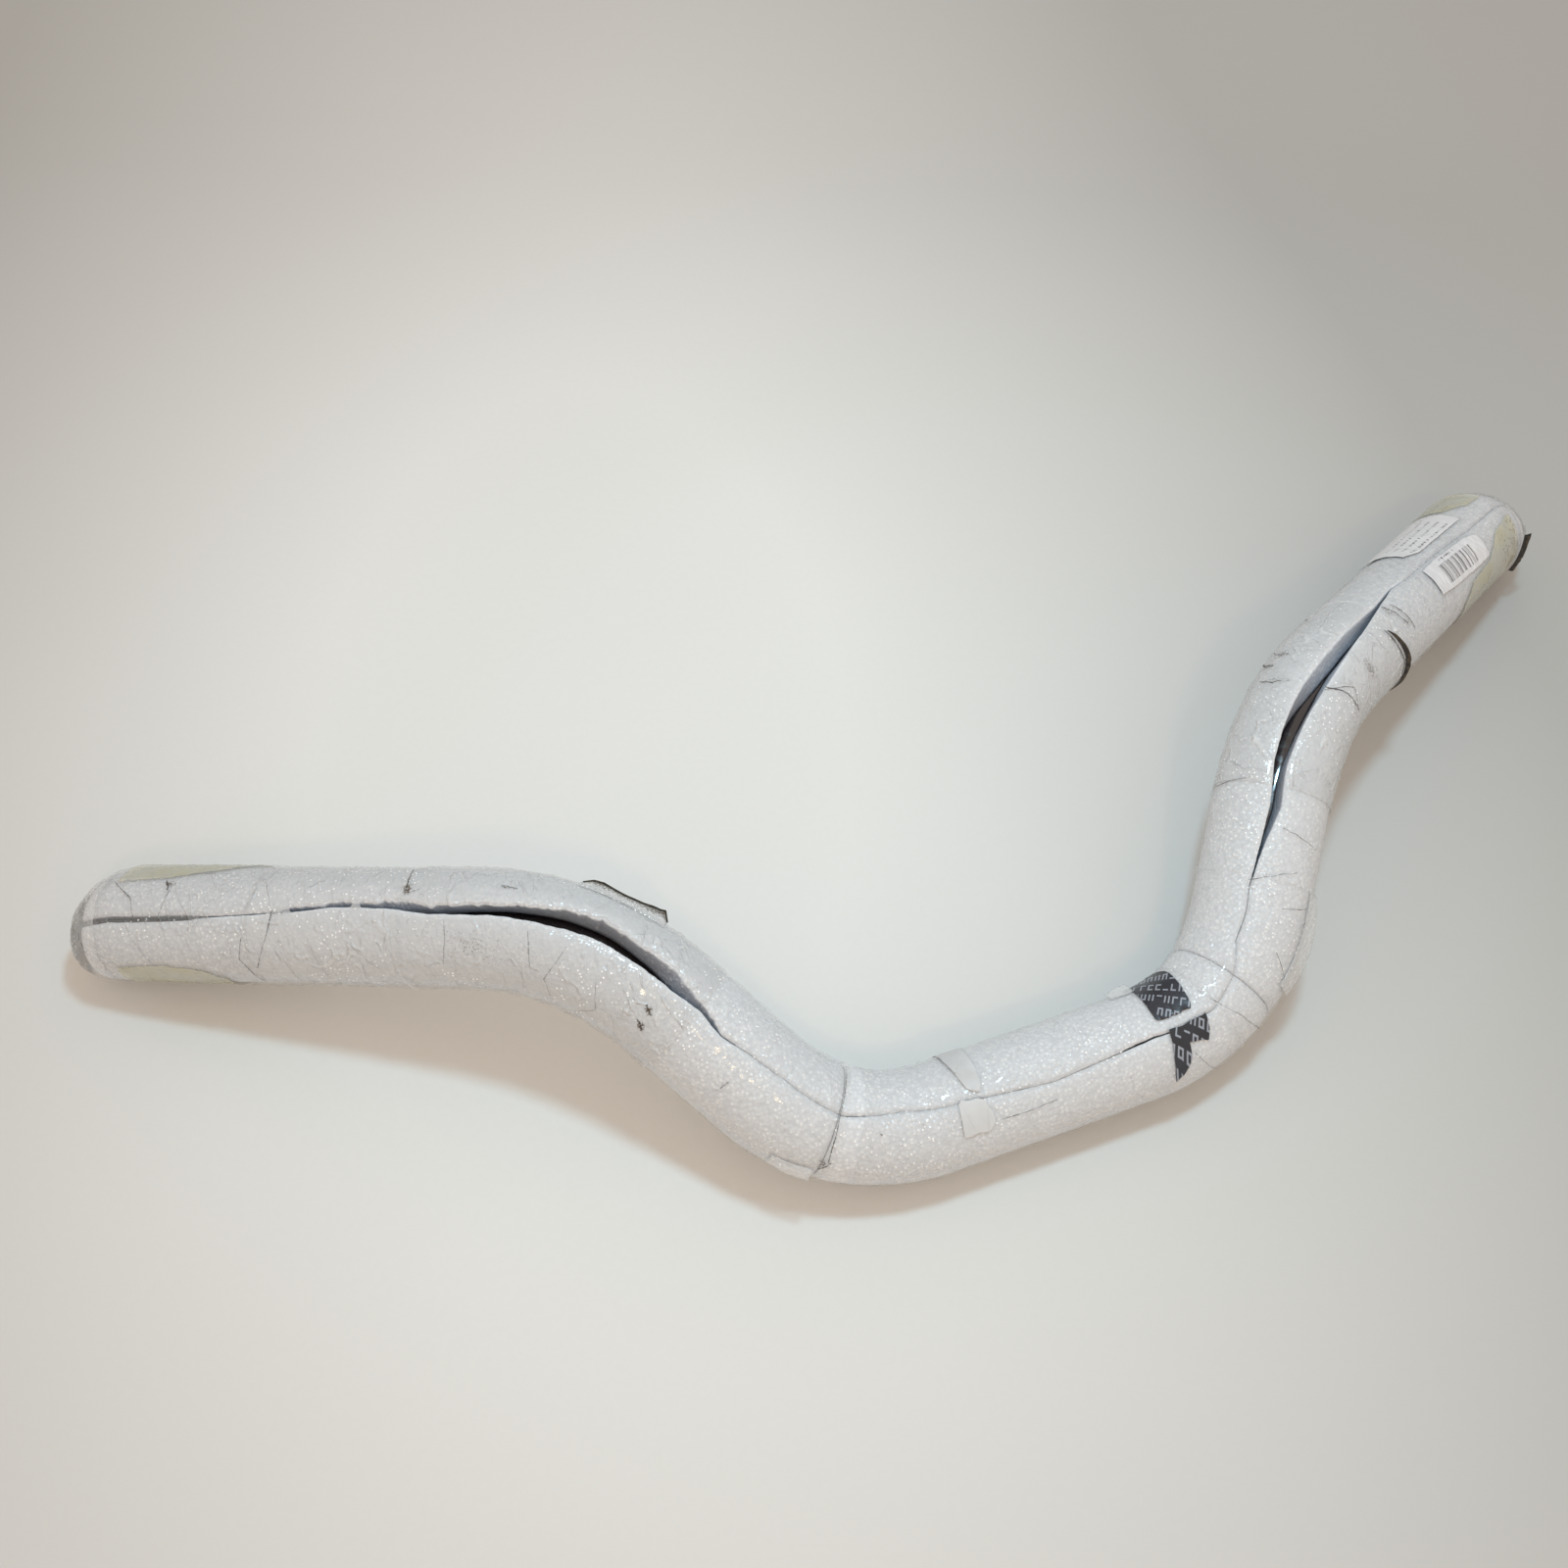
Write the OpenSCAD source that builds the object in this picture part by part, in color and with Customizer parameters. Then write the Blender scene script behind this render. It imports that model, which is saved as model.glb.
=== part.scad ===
// Motorcycle handlebar in its foam sleeve and clear tape, lying as it comes to rest.
// Millimetres, +Z up. The origin is on the floor under the middle of the centre section,
// +X runs along the centre section and +Y points to the two grips.
// A place on the bar is given by its distance along the bar from the middle, positive
// towards +X, and by an angle round it, from 0 on top to 90 at the front, away from the grips.

/* [Steel tube] */
// Outer diameter of the tube
tube_d = 25.4; // [22.2:0.1:28.6]
// Wall of the tube
tube_wall = 3.2; // [2:0.1:4]

/* [Bends] */
// From the middle of the bar to the corner of a lower bend
half_centre = 103; // [95:1:115]
// How far a riser runs outwards
riser_out = 84; // [74:1:94]
// How far a riser runs backwards
riser_back = 120; // [110:1:135]
// How far a riser runs upwards
riser_lift = 60; // [50:1:66]
// How far a grip runs outwards
grip_out = 221; // [205:1:240]
// How far a grip runs backwards
grip_back = 113; // [100:1:125]
// Radius of a lower bend, at the tube's axis
lower_bend_r = 90; // [75:1:95]
// Radius of an upper bend, at the tube's axis
upper_bend_r = 125; // [105:1:130]

// How much fatter the tube is round a bend, from the bending
bend_swell = 0.1; // [0.08:0.01:0.2]

/* [Foam sleeve] */
// Outer radius of the foam on the centre section
foam_r_centre = 26; // [24:0.1:28]
// Outer radius of the foam on the risers and grips
foam_r_arm = 28; // [26:0.1:30]
// Gap between the tube and the foam's bore
foam_clearance = 0.35; // [0.3:0.05:0.6]
// From the middle of the bar to the butt joints of the three lengths of foam
joint_at = 108; // [100:1:116]
// Gap left at a butt joint
joint_gap = 0.5; // [0.3:0.1:0.9]
// How deep the floor presses the soft sleeve
floor_squash = 1.3; // [1.1:0.1:1.6]

/* [Slit] */
// Width of the slit where the foam stays closed
slit_closed = 0.9; // [0.6:0.1:1.5]
// Width of the slit near the left end
slit_left_end = 2.6; // [1.5:0.1:4]
// Widest opening of the left gape
gape_left = 10; // [6:0.5:12]
// Widest opening of the right gape
gape_right = 10.5; // [6:0.5:12]
// Length of the left gape
gape_left_length = 150; // [120:1:160]
// Length of the right gape
gape_right_length = 184; // [140:1:190]
// How far the right gape's middle lies beyond the middle of its upper bend
gape_right_beyond = 10; // [0:1:15]
// Length of the open slit at the left end
end_slit_length = 92; // [70:1:100]

/* [Ends] */
// How far the foam and tape taper before the end of the tube
taper_length = 22; // [18:1:26]
// How far the tape closes beyond the end of the tube
cap_length = 14; // [12:1:18]
// Radius of the blunt tip of an end
tip_r = 8; // [6:0.5:10]
// Thickness of the bunched tape that closes an end
cap_t = 1; // [0.6:0.1:1.5]
// How far the left tip is bunched towards the front
left_tip_front = 4; // [0:0.5:6]
// How far the right tip is bunched towards the front
right_tip_front = 9; // [4:0.5:10]

/* [Tape] */
// Thickness of the clear tape
tape_t = 0.4; // [0.3:0.05:0.5]
// Gap under each layer of tape
tape_gap = 0.35; // [0.3:0.05:0.5]
// Gap between neighbouring turns of clear tape
turn_gap = 0.6; // [0.5:0.1:0.9]
// How much further the clear tape is cut back than the foam, on each side of the slit
tape_cut_back = 0.6; // [0.4:0.1:1.2]
// Thickness of the labels and scraps that lie on the clear tape
scrap_t = 0.4; // [0.3:0.05:0.6]
// Thickness of the folded tape that stands off the sleeve
loose_t = 0.5; // [0.4:0.05:0.8]

/* [Turns of clear tape] */
// Length of the turn at the left end, from the end of the tube
left_end_run = 98; // [85:1:105]
// How far the turn on the left bend reaches beyond the bend's middle
left_bend_beyond = 76; // [65:1:85]
// How far it reaches from the bend's middle towards the riser
left_bend_inward = 60; // [50:1:70]
// How far the turn on the right bend reaches beyond the bend's middle
right_bend_beyond = 72; // [60:1:80]
// How far it reaches from the bend's middle towards the riser
right_bend_inward = 42; // [35:1:50]
// How far the turn at the right foot reaches beyond the lower bend
right_foot_beyond = 19; // [15:1:25]
// How far the turn on the left riser reaches past the butt joint
left_foot_past = 4; // [2:1:6]
// How far the centre turn stops short of the left butt joint
centre_short_left = 14; // [8:1:16]
// How far the centre turn stops short of the right butt joint
centre_short_right = 16; // [14:1:18]

/* [Scraps and labels] */
// From the end of the tube to the yellowed tapes
aged_from_end = 23; // [22:1:30]
// Lengths of the yellowed tapes
aged_left_back_length = 66; // [50:1:70]
aged_left_front_length = 56; // [45:1:65]
aged_right_back_length = 28; // [20:1:30]
aged_right_front_length = 72; // [60:1:75]
// From the end of the tube to the two pieces of the label
label_back_from_end = 55; // [52:1:60]
label_front_from_end = 60; // [52:1:66]
// Length of a piece of the label
label_length = 64; // [50:1:66]
// From the end of the centre turn to the black security tapes
security_from_turn = 4; // [3:1:6]
// Lengths of the black security tapes
security_back_length = 29; // [20:1:32]
security_front_length = 25; // [20:1:30]
// From the middle of the bar to the paper tapes
paper_from_middle = 33; // [25:1:40]
// Lengths of the paper tapes
paper_back_length = 13; // [10:1:16]
paper_front_length = 19; // [14:1:22]
// Length of the loose flap on the left bend, and how far it stands off
flap_length = 35; // [25:1:40]
flap_stand = 7.5; // [4:0.5:9]
// Width of the lifted edge on the right bend, and how far it stands off
lifted_width = 9; // [6:1:12]
lifted_stand = 4.5; // [2:0.5:6]
// Length of the loose tab by the security tape, and how far it stands off
tab_length = 13; // [8:1:15]
tab_stand = 3.5; // [2:0.5:5]
// Width of the curl near the right end, and how far it stands off
curl_width = 13; // [8:1:14]
curl_stand = 6; // [3:0.5:8]
// Length of the loose skirt at the right foot, and how far it stands off
skirt_length = 42; // [30:1:45]
skirt_stand = 4; // [2:0.5:6]
// Length of the loose corner at the left foot, and how far it stands off
corner_length = 15; // [10:1:18]
corner_stand = 3.5; // [2:0.5:5]

/* [Hidden] */

// Faces round the sleeve, and the distance between its rings on bends and on straight runs
SIDES = 20;
BEND_STEP = 13;
RUN_STEP = 33;
TUBE_FACES = 96;
// How far a straight run of tube reaches into a bend's wall
bend_lap = 0.3;

tube_r = tube_d / 2;
bore_facet = cos(180 / (SIDES - 1));
chord_room = 0.25;
foam_bore_r = (tube_r + foam_clearance + chord_room) / bore_facet;
film_h = tape_gap + tape_t;
scrap_h = film_h + tape_gap;
axis_z = foam_r_centre + film_h - floor_squash;
end_z = foam_r_arm + film_h - floor_squash;

// The bar's straight runs, as unit directions, and the lengths between its bends
riser = [riser_out, riser_back, riser_lift];
grip = [grip_out, grip_back, end_z - axis_z - riser_lift];
along = [1, 0, 0];
riser_dir = riser / norm(riser);
grip_dir = grip / norm(grip);
lower_turn = acos(along * riser_dir);
upper_turn = acos(riser_dir * grip_dir);
lower_setback = lower_bend_r * tan(lower_turn / 2);
upper_setback = upper_bend_r * tan(upper_turn / 2);
centre_run = half_centre - lower_setback;
riser_run = norm(riser) - lower_setback - upper_setback;
grip_run = norm(grip) - upper_setback;
lower_arc = lower_bend_r * lower_turn * PI / 180;
upper_arc = upper_bend_r * upper_turn * PI / 180;

// Distances along the bar where each run and bend ends
s_centre = centre_run;
s_lower = s_centre + lower_arc;
s_riser = s_lower + riser_run;
s_upper = s_riser + upper_arc;
s_end = s_upper + grip_run;
bend_middle = (s_riser + s_upper) / 2;
foam_end = s_end - 3;
taper_start = s_end - taper_length;
tip_s = s_end + cap_length;

function unit(v) = v / norm(v);
function mirrored(v) = [-v.x, v.y, v.z];

// A bend's inward normal, and its point and direction after turning through an angle
function inward(from, to) = unit(cross(cross(from, to), from));
function bend_point(start, from, to, r, turn) =
    start + r * (sin(turn) * from + (1 - cos(turn)) * inward(from, to));
function bend_dir(from, to, turn) = cos(turn) * from + sin(turn) * inward(from, to);

lower_start = [s_centre, 0, axis_z];
lower_end = bend_point(lower_start, along, riser_dir, lower_bend_r, lower_turn);
upper_start = lower_end + riser_run * riser_dir;
upper_end = bend_point(upper_start, riser_dir, grip_dir, upper_bend_r, upper_turn);

function turned(run, r) = run / r * 180 / PI;
function half_point(s) =
    s < s_centre ? [s, 0, axis_z] :
    s < s_lower ?
        bend_point(lower_start, along, riser_dir, lower_bend_r, turned(s - s_centre, lower_bend_r)) :
    s < s_riser ? lower_end + (s - s_lower) * riser_dir :
    s < s_upper ?
        bend_point(upper_start, riser_dir, grip_dir, upper_bend_r, turned(s - s_riser, upper_bend_r)) :
    upper_end + (s - s_upper) * grip_dir;
function half_dir(s) =
    s < s_centre ? along :
    s < s_lower ? bend_dir(along, riser_dir, turned(s - s_centre, lower_bend_r)) :
    s < s_riser ? riser_dir :
    s < s_upper ? bend_dir(riser_dir, grip_dir, turned(s - s_riser, upper_bend_r)) :
    grip_dir;
function bar_point(s) = s < 0 ? mirrored(half_point(-s)) : half_point(s);
function bar_dir(s) = s < 0 ? -mirrored(half_dir(-s)) : half_dir(s);
function bar_up(s) = let (d = bar_dir(s)) unit([0, 0, 1] - d.z * d);
function bar_front(s) = cross(bar_dir(s), bar_up(s));

// The sleeve's radius, and how far its centre leaves the tube's axis, along the bar
function smooth(t) = let (c = min(max(t, 0), 1)) c * c * (3 - 2 * c);
function taper(s) = max(0, (abs(s) - taper_start) / (tip_s - taper_start));
function body_r(s) = foam_r_centre + (foam_r_arm - foam_r_centre) * smooth((abs(s) - s_centre - 25) / 60);
function sleeve_r(s) = tip_r + (body_r(s) - tip_r) * sqrt(max(0, 1 - pow(taper(s), 2.2)));
function tip_front(s) = (s < 0 ? left_tip_front : right_tip_front) * pow(taper(s), 1.5);
function tip_drop(s) = (end_z - film_h - tip_r - 6) * 0.5 * pow(taper(s), 1.5);

// A point at a height over the foam, held up where the floor presses the sleeve flat
function round_skin(s, a, h, lift) =
    let (p = bar_point(s) + tip_front(s) * bar_front(s) - tip_drop(s) * bar_up(s)
             + (sleeve_r(s) + h) * (cos(a) * bar_up(s) + sin(a) * bar_front(s)))
    [p.x, p.y, max(p.z, lift)];
function bore(s, a) = bar_point(s) + foam_bore_r * (cos(a) * bar_up(s) + sin(a) * bar_front(s));

// The slit's angle round the bar, as it wanders along it
SLIT_LINE = [[-500, 24], [-430, 22], [-395, 17], [-360, 7], [-310, 11], [-280, 9], [-255, 2], [-235, -4],
             [-200, 0], [-160, 2], [-108, 9], [-75, 4], [-38, 12], [0, 22], [40, 17], [90, 17], [108, 10],
             [125, -9], [155, -14], [185, -9], [235, -6], [265, 1], [300, 0], [340, -6], [400, -3], [500, 6]];
function slit_angle(s) = lookup(s, SLIT_LINE);

// A gape opens smoothly from one end to its widest place and closes smoothly to the other
function gape(s, from, widest, to) =
    s < widest ? smooth((s - from) / (widest - from)) : smooth((to - s) / (to - widest));
left_gape_widest = -bend_middle;
left_gape_from = left_gape_widest - gape_left_length / 2;
left_gape_to = left_gape_widest + gape_left_length / 2;
right_gape_widest = bend_middle + gape_right_beyond;
right_gape_from = right_gape_widest - gape_right_length / 2;
right_gape_to = right_gape_widest + gape_right_length / 2;
left_end_slit_from = -tip_s;
left_end_slit_widest = -tip_s + end_slit_length * 0.4;
left_end_slit_to = -tip_s + end_slit_length;
function slit_width(s) = slit_closed
    + (slit_left_end - slit_closed) * gape(s, left_end_slit_from, left_end_slit_widest, left_end_slit_to)
    + (gape_left - slit_closed) * gape(s, left_gape_from, left_gape_widest, left_gape_to)
    + (gape_right - slit_closed) * gape(s, right_gape_from, right_gape_widest, right_gape_to);
function half_slit(s, r) = asin(slit_width(s) / 2 / r);

// The places of the rings along the bar, close on the bends and the gapes. Every layer
// has its rings at the same places, so that no layer cuts through the one under it.
function spread(from, to, step) = let (count = ceil((to - from) / step))
    [for (k = [0:count - 1]) from + (to - from) * k / count];
HALF_STATIONS = concat(spread(0, s_centre, RUN_STEP),
                       spread(s_centre, s_lower, BEND_STEP),
                       spread(s_lower, s_riser - 20, RUN_STEP),
                       spread(s_riser - 20, s_upper + 20, BEND_STEP),
                       spread(s_upper + 20, taper_start, RUN_STEP),
                       spread(taper_start, foam_end, taper_length / 3));
STATIONS = concat([for (k = [len(HALF_STATIONS) - 1:-1:1]) -HALF_STATIONS[k]], HALF_STATIONS);
last_station = HALF_STATIONS[len(HALF_STATIONS) - 1];
nearest_ring = 2;
function between_rings(from, to) =
    [for (s = STATIONS) if (s > from + nearest_ring && s < to - nearest_ring) s];
function rings(from, to) = concat([from], between_rings(from, to), [to]);

// A point of the skin. Between two stations it lies on the straight line from one to the
// other, so a piece that starts between them still follows the faces under it.
function skin(s, a, h, lift) =
    abs(s) >= last_station ? round_skin(s, a, h, lift) :
    let (before = max([for (p = STATIONS) if (p <= s) p]),
         after = min([for (p = STATIONS) if (p > s) p]),
         share = (s - before) / (after - before))
    round_skin(before, a, h, lift) * (1 - share) + round_skin(after, a, h, lift) * share;

// Angles of the points round an open ring, from one lip of the slit to the other
function round_angles(middle, half, count) =
    [for (k = [0:count]) middle + half + (360 - 2 * half) * k / count];
// Angles of the points across a patch
function patch_angles(from, to, count) = [for (k = [0:count]) from + (to - from) * k / count];

// A closed sheet between two grids of points, the over grid outside the under grid
function grid_faces(rows, columns, base, flip) =
    [for (i = [0:rows - 2], j = [0:columns - 2])
        let (a = base + i * columns + j, b = a + 1, c = a + columns, d = c + 1)
        each flip ? [[a, b, d], [a, d, c]] : [[a, d, b], [a, c, d]]];
function rim_faces(rows, columns, under) =
    let (last = columns - 1, end = (rows - 1) * columns)
    [for (j = [0:columns - 2]) each [[j, j + 1, under + j + 1], [j, under + j + 1, under + j]],
     for (j = [0:columns - 2]) each [[end + j, under + end + j + 1, end + j + 1],
                                     [end + j, under + end + j, under + end + j + 1]],
     for (i = [0:rows - 2]) each [[i * columns, under + i * columns, under + (i + 1) * columns],
                                  [i * columns, under + (i + 1) * columns, (i + 1) * columns]],
     for (i = [0:rows - 2]) let (a = i * columns + last, b = a + columns)
         each [[a, under + b, under + a], [a, b, under + b]]];
module between(over, under) {
    rows = len(over);
    columns = len(over[0]);
    count = rows * columns;
    polyhedron([for (row = over) each row, for (row = under) each row],
        concat(grid_faces(rows, columns, 0, false), grid_faces(rows, columns, count, true),
               rim_faces(rows, columns, count)));
}

// A length of slit foam sleeve round the tube
module foam(from, to) {
    places = rings(from, to);
    round = function (s, r) round_angles(slit_angle(s), half_slit(s, r), SIDES);
    between([for (s = places) [for (a = round(s, sleeve_r(s))) skin(s, a, 0, film_h)]],
            [for (s = places) [for (a = round(s, foam_bore_r)) bore(s, a)]]);
}

// A turn of clear tape over the foam, cut along the slit
module clear_tape(from, to) {
    places = rings(from + turn_gap / 2, to - turn_gap / 2);
    cut = function (s) half_slit(s, sleeve_r(s)) + tape_cut_back / sleeve_r(s) * 180 / PI;
    round = function (s) round_angles(slit_angle(s), cut(s), SIDES);
    between([for (s = places) [for (a = round(s)) skin(s, a, film_h, 0)]],
            [for (s = places) [for (a = round(s)) skin(s, a, tape_gap, tape_t)]]);
}

// A scrap on the clear tape, from a place along the bar. Each row of its outline is
// [share of its length, first angle, last angle].
module scrap(from, length, outline, columns = 6) {
    edge = function (side) [for (row = outline) [from + row[0] * length, row[side]]];
    marks = [for (row = outline) from + row[0] * length];
    last = len(marks) - 1;
    places = concat([for (k = [0:last - 1]) each concat([marks[k]], between_rings(marks[k], marks[k + 1]))],
                    [marks[last]]);
    layer = function (h) [for (s = places)
        [for (a = patch_angles(lookup(s, edge(1)), lookup(s, edge(2)), columns)) skin(s, a, h, 0)]];
    between(layer(scrap_h + scrap_t), layer(scrap_h));
}

// A loose piece of tape that stands off the sleeve. Each row is a list of
// [share of its length along the bar, angle, share of its height].
module loose(from, length, stand, grid, base = scrap_h) {
    layer = function (h) [for (row = grid)
        [for (p = row) skin(from + p[0] * length, p[1], base + p[2] * stand + h, 0)]];
    between(layer(loose_t), layer(0));
}

// The bunched tape over an end: a skewed bullet, closed at its tip
module end_closure(side) {
    count = 20;
    steps = 6;
    first = foam_end - 9;
    place = function (k) side * (first + (tip_s - first) * sin(90 * k / steps));
    ring = function (s, h, lift) [for (j = [0:count - 1]) skin(s, side * 360 * j / count, h, lift)];
    wall = cap_t - tape_gap;
    over = [for (k = [0:steps]) ring(place(k), film_h + cap_t, 0)];
    under = [for (k = [0:steps]) ring(place(k) - (k == steps ? side * wall : 0), film_h + tape_gap, wall)];
    rows = steps + 1;
    base = rows * count;
    tip = 2 * base;
    next = function (j) (j + 1) % count;
    polyhedron(
        concat([for (row = over) each row], [for (row = under) each row],
               [skin(side * tip_s, 0, -tip_r, 0), skin(side * (tip_s - wall), 0, -sleeve_r(tip_s - wall), 0)]),
        concat(
            [for (k = [0:steps - 1], j = [0:count - 1]) each
                [[k * count + j, (k + 1) * count + next(j), k * count + next(j)],
                 [k * count + j, (k + 1) * count + j, (k + 1) * count + next(j)]]],
            [for (k = [0:steps - 1], j = [0:count - 1]) each
                [[base + k * count + j, base + k * count + next(j), base + (k + 1) * count + next(j)],
                 [base + k * count + j, base + (k + 1) * count + next(j), base + (k + 1) * count + j]]],
            [for (j = [0:count - 1]) each [[j, next(j), base + next(j)], [j, base + next(j), base + j]]],
            [for (j = [0:count - 1]) [steps * count + j, tip, steps * count + next(j)]],
            [for (j = [0:count - 1]) [base + steps * count + j, base + steps * count + next(j), tip + 1]]));
}

// Straight and bent lengths of tube. A straight run laps a little way into the wall of
// the bend at each of its ends, where the tube is a hair fatter from the bending.
module tube_section(swell) {
    difference() {
        circle(r = tube_r + swell, $fn = TUBE_FACES);
        circle(r = tube_r - tube_wall - swell, $fn = TUBE_FACES);
    }
}
module straight_tube(start, direction, run, far_lap = bend_lap) {
    translate(start - bend_lap * direction)
        rotate([0, acos(direction.z), atan2(direction.y, direction.x)])
        linear_extrude(bend_lap + run + far_lap) tube_section(0);
}
module bent_tube(start, from, to, r, turn) {
    in = inward(from, to);
    normal = cross(-in, from);
    translate(start + r * in)
        rotate([atan2(from.z, normal.z), asin(in.z), atan2(-in.y, -in.x)])
        rotate_extrude(angle = turn, $fn = TUBE_FACES) translate([r, 0]) tube_section(bend_swell);
}
module half_tube() {
    bent_tube(lower_start, along, riser_dir, lower_bend_r, lower_turn);
    straight_tube(lower_end, riser_dir, riser_run);
    bent_tube(upper_start, riser_dir, grip_dir, upper_bend_r, upper_turn);
    straight_tube(upper_end, grip_dir, grip_run, 0);
}

module handlebar_tube() color([0.05, 0.04, 0.04]) union() {
    straight_tube([-s_centre, 0, axis_z], along, 2 * s_centre);
    half_tube();
    mirror([1, 0, 0]) half_tube();
}

module foam_sleeve_left() color("white") foam(-foam_end, -joint_at - joint_gap / 2);
module foam_sleeve_centre() color("white") foam(-joint_at + joint_gap / 2, joint_at - joint_gap / 2);
module foam_sleeve_right() color("white") foam(joint_at + joint_gap / 2, foam_end);

// The clear tape goes round the sleeve in turns that meet at these distances along the bar
left_end_turn = -s_end + left_end_run;
left_grip_turn = -bend_middle - left_bend_beyond;
left_bend_turn = -bend_middle + left_bend_inward;
left_foot = -joint_at + left_foot_past;
centre_left = -joint_at + centre_short_left;
centre_right = joint_at - centre_short_right;
right_foot_turn = s_lower + right_foot_beyond;
right_riser_turn = bend_middle - right_bend_inward;
right_bend_turn = bend_middle + right_bend_beyond;
cap_edge = foam_end - 10;
module clear_tape_left_end() color("gainsboro", 0.5) clear_tape(-cap_edge, left_end_turn);
module clear_tape_left_grip() color("gainsboro", 0.5) clear_tape(left_end_turn, left_grip_turn);
module clear_tape_left_bend() color("gainsboro", 0.5) clear_tape(left_grip_turn, left_bend_turn);
module clear_tape_left_riser() color("gainsboro", 0.5) clear_tape(left_bend_turn, left_foot);
module clear_tape_centre() color("gainsboro", 0.5) clear_tape(centre_left, centre_right);
module clear_tape_right_foot() color("gainsboro", 0.5) clear_tape(centre_right, right_foot_turn);
module clear_tape_right_riser() color("gainsboro", 0.5) clear_tape(right_foot_turn, right_riser_turn);
module clear_tape_right_bend() color("gainsboro", 0.5) clear_tape(right_riser_turn, right_bend_turn);
module clear_tape_right_grip() color("gainsboro", 0.5) clear_tape(right_bend_turn, cap_edge);

module end_closure_left() color("silver", 0.8) end_closure(-1);
module end_closure_right() color("silver", 0.8) end_closure(1);

module yellowed_tape_left_back() color("lightyellow")
    scrap(-s_end + aged_from_end, aged_left_back_length,
          [[0, -110, -18], [0.38, -110, -22], [0.76, -110, -30], [1, -110, -42]], 8);
module yellowed_tape_left_front() color("lightyellow")
    scrap(-s_end + aged_from_end, aged_left_front_length, [[0, 74, 140], [0.45, 72, 140], [1, 76, 140]]);
module yellowed_tape_right_back() color("lightyellow")
    scrap(s_end - aged_from_end - aged_right_back_length, aged_right_back_length,
          [[0, -105, -24], [0.5, -105, -16], [1, -105, -16]], 8);
module yellowed_tape_right_front() color("lightyellow")
    scrap(s_end - aged_from_end - aged_right_front_length, aged_right_front_length,
          [[0, 50, 120], [0.43, 48, 120], [0.57, 38, 120], [0.7, 30, 120], [1, 28, 120]], 8);

module label_back() color("white")
    scrap(s_end - label_back_from_end - label_length, label_length,
          [[0, -82, -24], [0.17, -82, -16], [1, -82, -12]]);
module label_front() color("white")
    scrap(s_end - label_front_from_end - label_length, label_length,
          [[0, 4, 38], [0.34, 4, 42], [0.8, 8, 43], [1, 14, 42]], 4);

module security_tape_back() color("black")
    scrap(centre_right - security_from_turn - security_back_length, security_back_length,
          [[0, -62, -6], [0.14, -72, 0], [0.42, -78, 6], [0.9, -76, 2], [1, -66, -6]], 8);
module security_tape_front() color("black")
    scrap(centre_right - security_from_turn - security_back_length, security_front_length,
          [[0, 50, 68], [0.12, 38, 66], [0.28, 28, 56], [0.44, 24, 44], [0.64, 22, 38], [1, 22, 38]], 4);
module paper_tape_back() color("snow")
    scrap(-paper_from_middle - paper_back_length, paper_back_length,
          [[0, -84, -8], [0.3, -84, 0], [0.76, -84, 3], [1, -76, -4]], 8);
module paper_tape_front() color("snow")
    scrap(-paper_from_middle - paper_front_length, paper_front_length,
          [[0, 24, 44], [0.42, 20, 47], [0.84, 22, 46], [1, 26, 38]], 4);

module loose_flap_left() color("silver", 0.7)
    loose(-bend_middle - flap_length * 0.23, flap_length, flap_stand,
          [for (row = [[0, 0.27], [0.23, 0.8], [0.51, 1], [0.8, 0.87], [1, 0.6]])
              [[row[0], -48, 0], [row[0], -58, row[1] * 0.25], [row[0], -68, row[1]]]]);
module lifted_edge_right() color("dimgray", 0.8)
    loose(right_bend_turn + turn_gap - lifted_width, lifted_width, lifted_stand,
          [for (a = [20:16:100]) [[0, a, 0], [0.45, a, 0.33], [1, a, 1]]]);
module loose_tab_centre() color("silver", 0.7)
    loose(centre_right - security_from_turn - security_back_length - tab_length, tab_length, tab_stand,
          [for (row = [[0, 0.43], [0.46, 1], [1, 0.86]]) [[row[0], -52, 0], [row[0], -66, row[1]]]]);
module loose_curl_right() color("dimgray", 0.8)
    loose(cap_edge - 5, curl_width, curl_stand, [for (a = [50:10:90]) [[0, a, 0], [0.6, a, 0.4], [1, a, 1]]],
          scrap_h + cap_t);
module loose_skirt_right() color("silver", 0.7)
    loose(right_foot_turn - 3 - skirt_length, skirt_length, skirt_stand,
          [for (row = [[0, 0.38], [0.33, 0.88], [0.67, 1], [1, 0.5]])
              [[row[0], 58, 0], [row[0], 72, row[1] * 0.5], [row[0], 84, row[1]]]]);
module loose_corner_left() color("silver", 0.7)
    loose(-joint_at - 3 - corner_length, corner_length, corner_stand,
          [for (row = [[0, 0.43], [0.53, 0.86], [1, 1]]) [[row[0], 74, 0], [row[0], 88, row[1]]]]);

handlebar_tube();
foam_sleeve_left();
foam_sleeve_centre();
foam_sleeve_right();
clear_tape_left_end();
clear_tape_left_grip();
clear_tape_left_bend();
clear_tape_left_riser();
clear_tape_centre();
clear_tape_right_foot();
clear_tape_right_riser();
clear_tape_right_bend();
clear_tape_right_grip();
end_closure_left();
end_closure_right();
yellowed_tape_left_back();
yellowed_tape_left_front();
yellowed_tape_right_back();
yellowed_tape_right_front();
label_back();
label_front();
security_tape_back();
security_tape_front();
paper_tape_back();
paper_tape_front();
loose_flap_left();
lifted_edge_right();
loose_tab_centre();
loose_curl_right();
loose_skirt_right();
loose_corner_left();
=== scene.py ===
"""Dresses a wrapped motorcycle handlebar: black tube, slit foam sleeves, wrinkled tape and its scraps."""
import math

import bmesh
import bpy
import numpy as np
from mathutils import Matrix, Vector


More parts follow.
